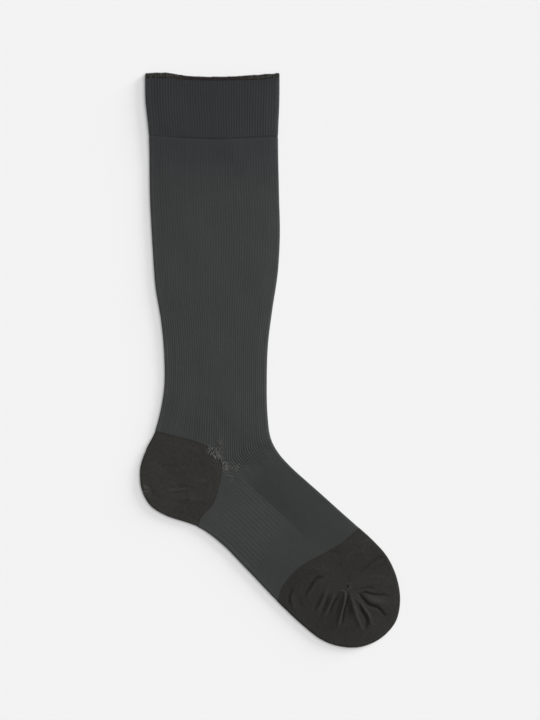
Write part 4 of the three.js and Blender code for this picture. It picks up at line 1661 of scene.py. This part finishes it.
@dataclass
class Heel(Piece):
    """The heel pouch: its rows fan out from the instep corner, where they all begin and end.

    Attributes:
        upper_columns: how many columns of faces the upper layer has.
        under_columns: how many the under layer has.
        row_count: how many rows of faces the outer skin has.
        row_skip: how many of those rows one row of the inner skin takes up.
        fan_angle: how far the fan opens, in degrees.
        line_drop: how far the cloth sinks beside the heel line.
        wale: how far apart its columns of stitches are.
        swell: how high the soft roll beside its fold is. It has none.
        open_share: how far its own stitches are pulled open, beside the leg's.
    """

    upper_columns: int = 120
    under_columns: int = 60
    row_count: int = 64
    row_skip: int = 4
    fan_angle: float = 97.0
    line_drop: float = 0.3
    wale: float = 1.15
    swell: float = 0.0
    open_share: float = 0.8

    def build(self) -> bpy.types.Object:
        """Two fans and the two rims between them.

        Returns:
            The pouch's object.
        """
        patch = self.shape.heel()
        columns = Columns.pouch(self.upper_columns, self.under_columns)
        shell = Shell()
        grids = []
        for inset in (0.0, KNIT_WALL):
            rows = np.linspace(0, 1, self.row_count // (self.row_skip if inset else 1) + 1)
            along = np.broadcast_to(rows[:, None], (len(rows), len(columns.across)))
            across = np.broadcast_to(columns.across, along.shape)
            turn = np.broadcast_to(columns.turn, along.shape)
            place = patch.place(across, along)
            outs = patch.outward(across, along)
            reach = patch.width(along)
            rise = HEEL_RISE * np.sin(math.pi * across) * np.sin(math.pi * along)
            rise = rise - self.line_drop * self.beside_line(along)
            relief = pleat_relief(place, HEEL_PLEATS)
            raised = self.raised(relief, place, turn, reach * across, inset)
            raised = raised * smooth(reach * (1 - across), 0, 6)
            points = self.wall(place, outs, turn, inset, raised, rise)
            # Besides the heel's tone, the shade mark gets painted light on ridges and painted shade in
            # creases, the spots of painted light and shade, and half the painted highlight beside the
            # fold.
            shade = self.shade(along) + self.crease_shade * relief + spots_at(place, HEEL_TONES)
            shade = shade + 0.5 * self.painted_edge_highlight(place, reach * across, turn, across)
            stretch = self.open_share * self.opened(place, turn)
            knit = self.knit(along, across, turn, reach)
            grid = shell.add(points, knit, shade=shade, stretch=stretch)
            grid.point[:, 0] = grid.point[0, 0]
            grid.point[:, -1] = grid.point[0, -1]
            shell.fill(grid, inset > 0)
            grids.append(grid)
        outer, inner = grids
        shell.fill(Grid.stack(inner.rows(0), outer.rows(0)), soft=False)
        shell.fill(Grid.stack(outer.rows(-1), inner.rows(-1)), soft=False)
        return shell.mesh(self.name)

    def knit(self, along: Array, across: Array, turn: Array, reach: Array) -> Array:
        """The stitches' places: rows run from each heel line inwards and meet in a mitre half-way.

        Args:
            along: the share of the way round the fan.
            across: the share of the way from the calf to the instep corner.
            turn: the angle round the fold.
            reach: the distance from the corner to the calf's edge.

        Returns:
            The wale and the course of each corner.
        """
        angle = math.radians(self.fan_angle) / 2 * (1 - np.abs(2 * along - 1))
        distance = reach * (1 - across)
        under = np.isclose(turn, math.pi)
        sideways = np.where(under, 2 * reach - distance, distance) * np.cos(angle)
        sideways = sideways + turn * KNIT_HEIGHT / 2
        return np.stack([sideways / self.wale, distance * np.sin(angle) / self.course], -1)

    @staticmethod
    def beside_line(along: Array) -> Array:
        """1 at the heel line, falling off within a few rows of stitches as a bell curve."""
        return 0.7 * np.exp(-((along / 0.02) ** 2)) + np.exp(-(((1 - along) / 0.02) ** 2))

    def shade(self, along: Array) -> Array:
        """A little lighter along the mitre, and painted shade at the heel line, where the cloth sinks.
        """
        return 0.03 * np.exp(-(((along - 0.5) / 0.03) ** 2)) - 0.08 * self.beside_line(along) - 0.03


@dataclass
class Toe(Piece):
    """The toe pouch, drawn in at its closing knot.

    Attributes:
        line_columns: how many columns of faces end at the toe line.
        rim_columns: how many end at the outline.
        row_count: how many rows of faces the upper layer has.
        under_rows: how many the under layer has.
        plain_rows: how many each layer of the inner skin has.
        foot_angle: which way the foot points, in degrees round from +X to +Y.
        wale: how far apart its columns of stitches are.
        knot_rise: how high the closing knot stands.
    """

    line_columns: int = 120
    rim_columns: int = 280
    row_count: int = 72
    under_rows: int = 40
    plain_rows: int = 12
    foot_angle: float = -43.0
    wale: float = 1.15
    knot_rise: float = 0.5

    def build(self) -> bpy.types.Object:
        """Two skins, joined by a rim round the toe line.

        Returns:
            The pouch's object.
        """
        shell = Shell()
        outer = self.skin(shell, 0.0, self.row_count)
        inner = self.skin(shell, KNIT_WALL, self.plain_rows)
        shell.fill(Grid.stack(inner, outer), soft=False)
        return shell.mesh(self.name)

    def skin(self, shell: Shell, inset: float, row_count: int) -> Grid:
        """One skin: an upper disc about the knot, the fold round the outline and a disc below.

        Args:
            shell: takes in the corners and faces.
            inset: how far the skin lies inside the outer one.
            row_count: the number of rows from the knot out to the edge, on the upper layer.

        Returns:
            The ring at the toe line, where the foot goes on.
        """
        flip = inset > 0
        line = Route.along(self.shape.toe_line, 0, 1, lambda points: np.full(len(points), SEAM_GAP / 2))
        rim = self.shape.flat_edge(self.shape.shin_share("toe line"), self.shape.calf_share("toe line"))
        steps = np.arange(1, self.rim_columns) / self.rim_columns
        ends = line.at(np.linspace(0, 1, self.line_columns + 1))
        round_points = np.vstack([ends, rim.at(steps)])
        upper = self.disc(shell, round_points, row_count, True, inset)
        under_rows = self.plain_rows if inset else self.under_rows
        under = self.disc(shell, round_points, under_rows, False, inset)
        shell.fill(upper, flip)
        shell.fill(under, not flip)

        rim_share = np.linspace(0, 1, self.rim_columns + 1)
        flat = np.vstack([round_points[self.line_columns :], round_points[:1]])
        turn = np.broadcast_to(
            (math.pi * np.arange(FOLD_COLUMNS + 1) / FOLD_COLUMNS)[:, None],
            (FOLD_COLUMNS + 1, len(flat)),
        )
        place = np.broadcast_to(flat, (*turn.shape, 2))
        outs = np.broadcast_to(rim.out(rim_share), place.shape)
        points = self.wall(place, outs, turn, inset, np.zeros_like(turn))
        knit = self.knit(place + outs * (turn * KNIT_HEIGHT / 2)[..., None])
        fold = shell.add(points, knit, tint=0.8)
        rim_ids = np.arange(self.line_columns, self.line_columns + self.rim_columns + 1)
        fold.point[0] = upper.point[0, rim_ids]
        fold.point[-1] = under.point[0, rim_ids]
        shell.fill(fold, not flip)
        across = upper.rows(0).columns(slice(0, self.line_columns + 1))
        below = under.rows(0).columns(slice(self.line_columns, None, -1))
        down = Grid(fold.point[1:-1, 0], fold.place[1:-1, 0])
        up = Grid(fold.point[-2:0:-1, -1], fold.place[-2:0:-1, -1])
        first = Grid(across.point[:1], across.place[:1])
        return Grid.chain(across, down, below, up, first)

    def disc(self, shell: Shell, round_points: Array, row_count: int, upper: bool, inset: float) -> Grid:
        """One layer of the toe, in rows that close in on the knot.

        A row lies a share of the way from the knot to the edge. The upper layer swells up towards the
        knot by one less the share squared, and its gathers fade out just inside the edge.

        Args:
            shell: takes in the corners.
            round_points: the places round the edge.
            row_count: how many rows there are.
            upper: whether it is the upper layer.
            inset: how far the skin lies inside the outer one.

        Returns:
            The grid of its corners, closed, from the edge in to the knot.
        """
        rows = np.linspace(1, 0, row_count + 1)
        share = np.broadcast_to(rows[:, None], (len(rows), len(round_points)))
        place = mix(KNOT, round_points, share[..., None])
        if upper:
            height = KNIT_HEIGHT + (TOE_RISE / 2 if inset else TOE_RISE) * (1 - share**2)
            if not inset:
                away = smooth(1 - share, 0, 0.1)
                height = height + away * (self.relief(place) + self.rolling * 0.8 * rolling(place))
            z = height - inset
        elif inset:
            z = np.full(share.shape, inset)
        else:
            shallow = np.clip(self.relief(place), self.deepest, self.rib_rise)
            z = smooth(1 - share, 0, 0.06) * (self.rib_rise - shallow)
        points = np.concatenate([place, z[..., None]], -1)
        closed_place = np.concatenate([place, place[:, :1]], 1)
        knit = self.knit(closed_place)
        pleats = pleat_relief(place, TOE_PLEATS) if upper else 0 * share
        # Besides the knot's painted shade, the shade mark gets painted light on ridges, painted shade in
        # creases and the spots of painted light and shade.
        shade = self.shade(place, share) + self.crease_shade * pleats + spots_at(place, TOE_TONES)
        grid = shell.add(points, knit, True, shade=shade, tint=0.8)
        grid.point[-1] = grid.point[-1, 0]
        return grid

    def relief(self, place: Array) -> Array:
        """The height of the gathers and of the knot, which is a small bell less a narrower one.

        Args:
            place: the flat places.

        Returns:
            The height, in mm.
        """
        distance = np.linalg.norm(place - KNOT, axis=-1)
        knot = self.knot_rise * np.exp(-((distance / 2.2) ** 2)) - 1.2 * np.exp(-((distance / 1.0) ** 2))
        return pleat_relief(place, TOE_PLEATS) + knot

    def knit(self, place: Array) -> Array:
        """The stitches' places: wales run along the foot, so the map is turned to the foot's angle.

        Args:
            place: the flat places.

        Returns:
            The wale and the course of each corner.
        """
        angle = math.radians(self.foot_angle)
        along = place[..., 0] * math.cos(angle) + place[..., 1] * math.sin(angle)
        aside = -place[..., 0] * math.sin(angle) + place[..., 1] * math.cos(angle)
        return np.stack([aside / self.wale, along / self.course], -1)

    @staticmethod
    def shade(place: Array, share: Array) -> Array:
        """Painted shade in the knot's dimple, with four pale loops round it, and lighter at the rim of
        the tip.

        Args:
            place: the flat places.
            share: the share of the way from the knot to the edge.

        Returns:
            How much lighter it is, as a share. Darker cloth is below 0.
        """
        distance = np.linalg.norm(place - KNOT, axis=-1)
        angle = np.arctan2(place[..., 1] - KNOT[1], place[..., 0] - KNOT[0])
        petals = np.cos(2 * angle) ** 2 * np.exp(-(((distance - 2.3) / 0.8) ** 2))
        rim = smooth(share, 0.86, 1.0) * smooth(place[..., 0] - place[..., 1], 200, 290)
        return 0.35 * petals - 0.7 * np.exp(-((distance / 1.1) ** 2)) + 0.08 * rim


@dataclass
class Studio:
    """The pale floor, the soft lights and the camera straight above.

    Attributes:
        floor_size: how long each side of the floor is, in metres.
        floor_tone: how pale it is.
        grain: how much its tone strays.
        grain_scale: how many cells of that grain there are to a metre.
        camera_height: how far up the camera is, in metres.
        view_length: what length of the floor the picture's longer side shows, in metres.
        sensor: how wide the camera's sensor is, in mm.
        ambient: how bright the even sky is.
    """

    floor_size: float = 6.0
    floor_tone: float = 0.8
    grain: float = 0.004
    grain_scale: float = 3.0
    camera_height: float = 3.0
    view_length: float = 0.5976
    sensor: float = 36.0
    ambient: float = 0.1

    def floor(self) -> None:
        """A plain pale surface just under the stocking, finished with a faint grain."""
        half = self.floor_size / 2
        mesh = bpy.data.meshes.new("floor")
        corners = [(-half, -half, 0), (half, -half, 0), (half, half, 0), (-half, half, 0)]
        mesh.from_pydata(corners, [], [(0, 1, 2, 3)])
        made = bpy.data.objects.new("floor", mesh)
        bpy.context.scene.collection.objects.link(made)
        graph = Graph("pale_floor")
        cloth = graph.node("ShaderNodeTexCoord", {}, {}).outputs["Object"]
        tone = (graph.noise(cloth, self.grain_scale, 2) - 0.5) * self.grain + self.floor_tone
        colour = graph.shaded((1, 1, 1), tone)
        shader = graph.node(
            "ShaderNodeBsdfPrincipled",
            {},
            {"Base Color": colour, "Roughness": 1.0, "Specular IOR Level": 0.0},
        )
        graph.node("ShaderNodeOutputMaterial", {}, {"Surface": shader.outputs["BSDF"]})
        mesh.materials.append(graph.material)

    def lights(self) -> None:
        """An even sky, a broad light from overhead and a low soft one from the upper right."""
        world = bpy.data.worlds.new("studio")
        world.use_nodes = True
        world.node_tree.nodes["Background"].inputs["Color"].default_value = (1, 1, 1, 1)
        world.node_tree.nodes["Background"].inputs["Strength"].default_value = self.ambient
        bpy.context.scene.world = world
        self.sun("overhead", azimuth=30, elevation=68, strength=2.62, spread=62)
        self.sun("window", azimuth=33, elevation=15, strength=2.95, spread=24)

    @staticmethod
    def sun(name: str, azimuth: float, elevation: float, strength: float, spread: float) -> None:
        """A far, broad light.

        Args:
            name: the light's name.
            azimuth: where it stands, in degrees round from +X to +Y.
            elevation: how high it stands, in degrees.
            strength: how strong it is.
            spread: how broad it looks from the stocking, in degrees.
        """
        light = bpy.data.lights.new(name, "SUN")
        light.energy = strength
        light.angle = math.radians(spread)
        made = bpy.data.objects.new(name, light)
        around, up = math.radians(azimuth), math.radians(elevation)
        away = Vector((math.cos(around) * math.cos(up), math.sin(around) * math.cos(up), math.sin(up)))
        made.location = away
        made.rotation_mode = "QUATERNION"
        made.rotation_quaternion = away.to_track_quat("Z", "Y")
        bpy.context.scene.collection.objects.link(made)

    def camera(self) -> None:
        """Looks straight down, far enough away to show the stocking with no perspective."""
        data = bpy.data.cameras.new("camera")
        data.sensor_width = self.sensor
        data.lens = self.sensor * self.camera_height / self.view_length
        made = bpy.data.objects.new("camera", data)
        made.location = (0, 0, self.camera_height)
        bpy.context.scene.collection.objects.link(made)
        bpy.context.scene.camera = made


def main() -> None:
    """Builds the studio and then the stocking's pieces, from the mouth to the toe."""
    logging.basicConfig(level=logging.INFO, format="%(message)s")
    bpy.context.scene.view_settings.view_transform = "Standard"
    studio = Studio()
    studio.floor()
    studio.lights()
    studio.camera()
    shape = StockingShape()
    pieces = (
        CuffBand(
            shape,
            "top_edge_trim",
            Slot.BROWN,
            TRIM,
            "top_edge",
            cut_width=0,
            cut_length=0,
            cut_area=0,
            course=0.7,
            rib_rise=0.2,
            start=0,
            end=TRIM_DEPTH,
            end_drop=TRIM_DROP,
            wall_thickness=TRIM_WALL,
            row_count=14,
            rounded_mouth=True,
        ),
        CuffBand(
            shape,
            "welt_rib",
            Slot.CUFF,
            CUFF,
            "welt",
            cut_width=226,
            cut_length=49,
            cut_area=226 * 49,
            start=TRIM_DEPTH + TRIM_GAP,
            start_drop=TRIM_DROP,
            end=CUFF_DEPTH - SEAM_GAP / 2,
            wall_thickness=CUFF_WALL,
        ),
        LegAndFoot(
            shape,
            "leg_and_foot_knit",
            Slot.CHARCOAL,
            CHARCOAL,
            "leg_and_foot",
            cut_width=222,
            cut_length=385,
            cut_area=70000,
        ),
        Heel(
            shape,
            "heel_pouch",
            Slot.BROWN,
            BROWN,
            "heel",
            cut_width=140,
            cut_length=90,
            cut_area=8200,
        ),
        Toe(
            shape,
            "toe_pouch",
            Slot.BROWN,
            BROWN,
            "toe",
            cut_width=175,
            cut_length=95,
            cut_area=14000,
        ),
    )
    edging: list[bpy.types.Object] = []
    for piece in pieces:
        made = piece.build()
        piece.declare(made, edging)
        edging = [] if piece.cut_length else [made]


if __name__ == "__main__":
    main()
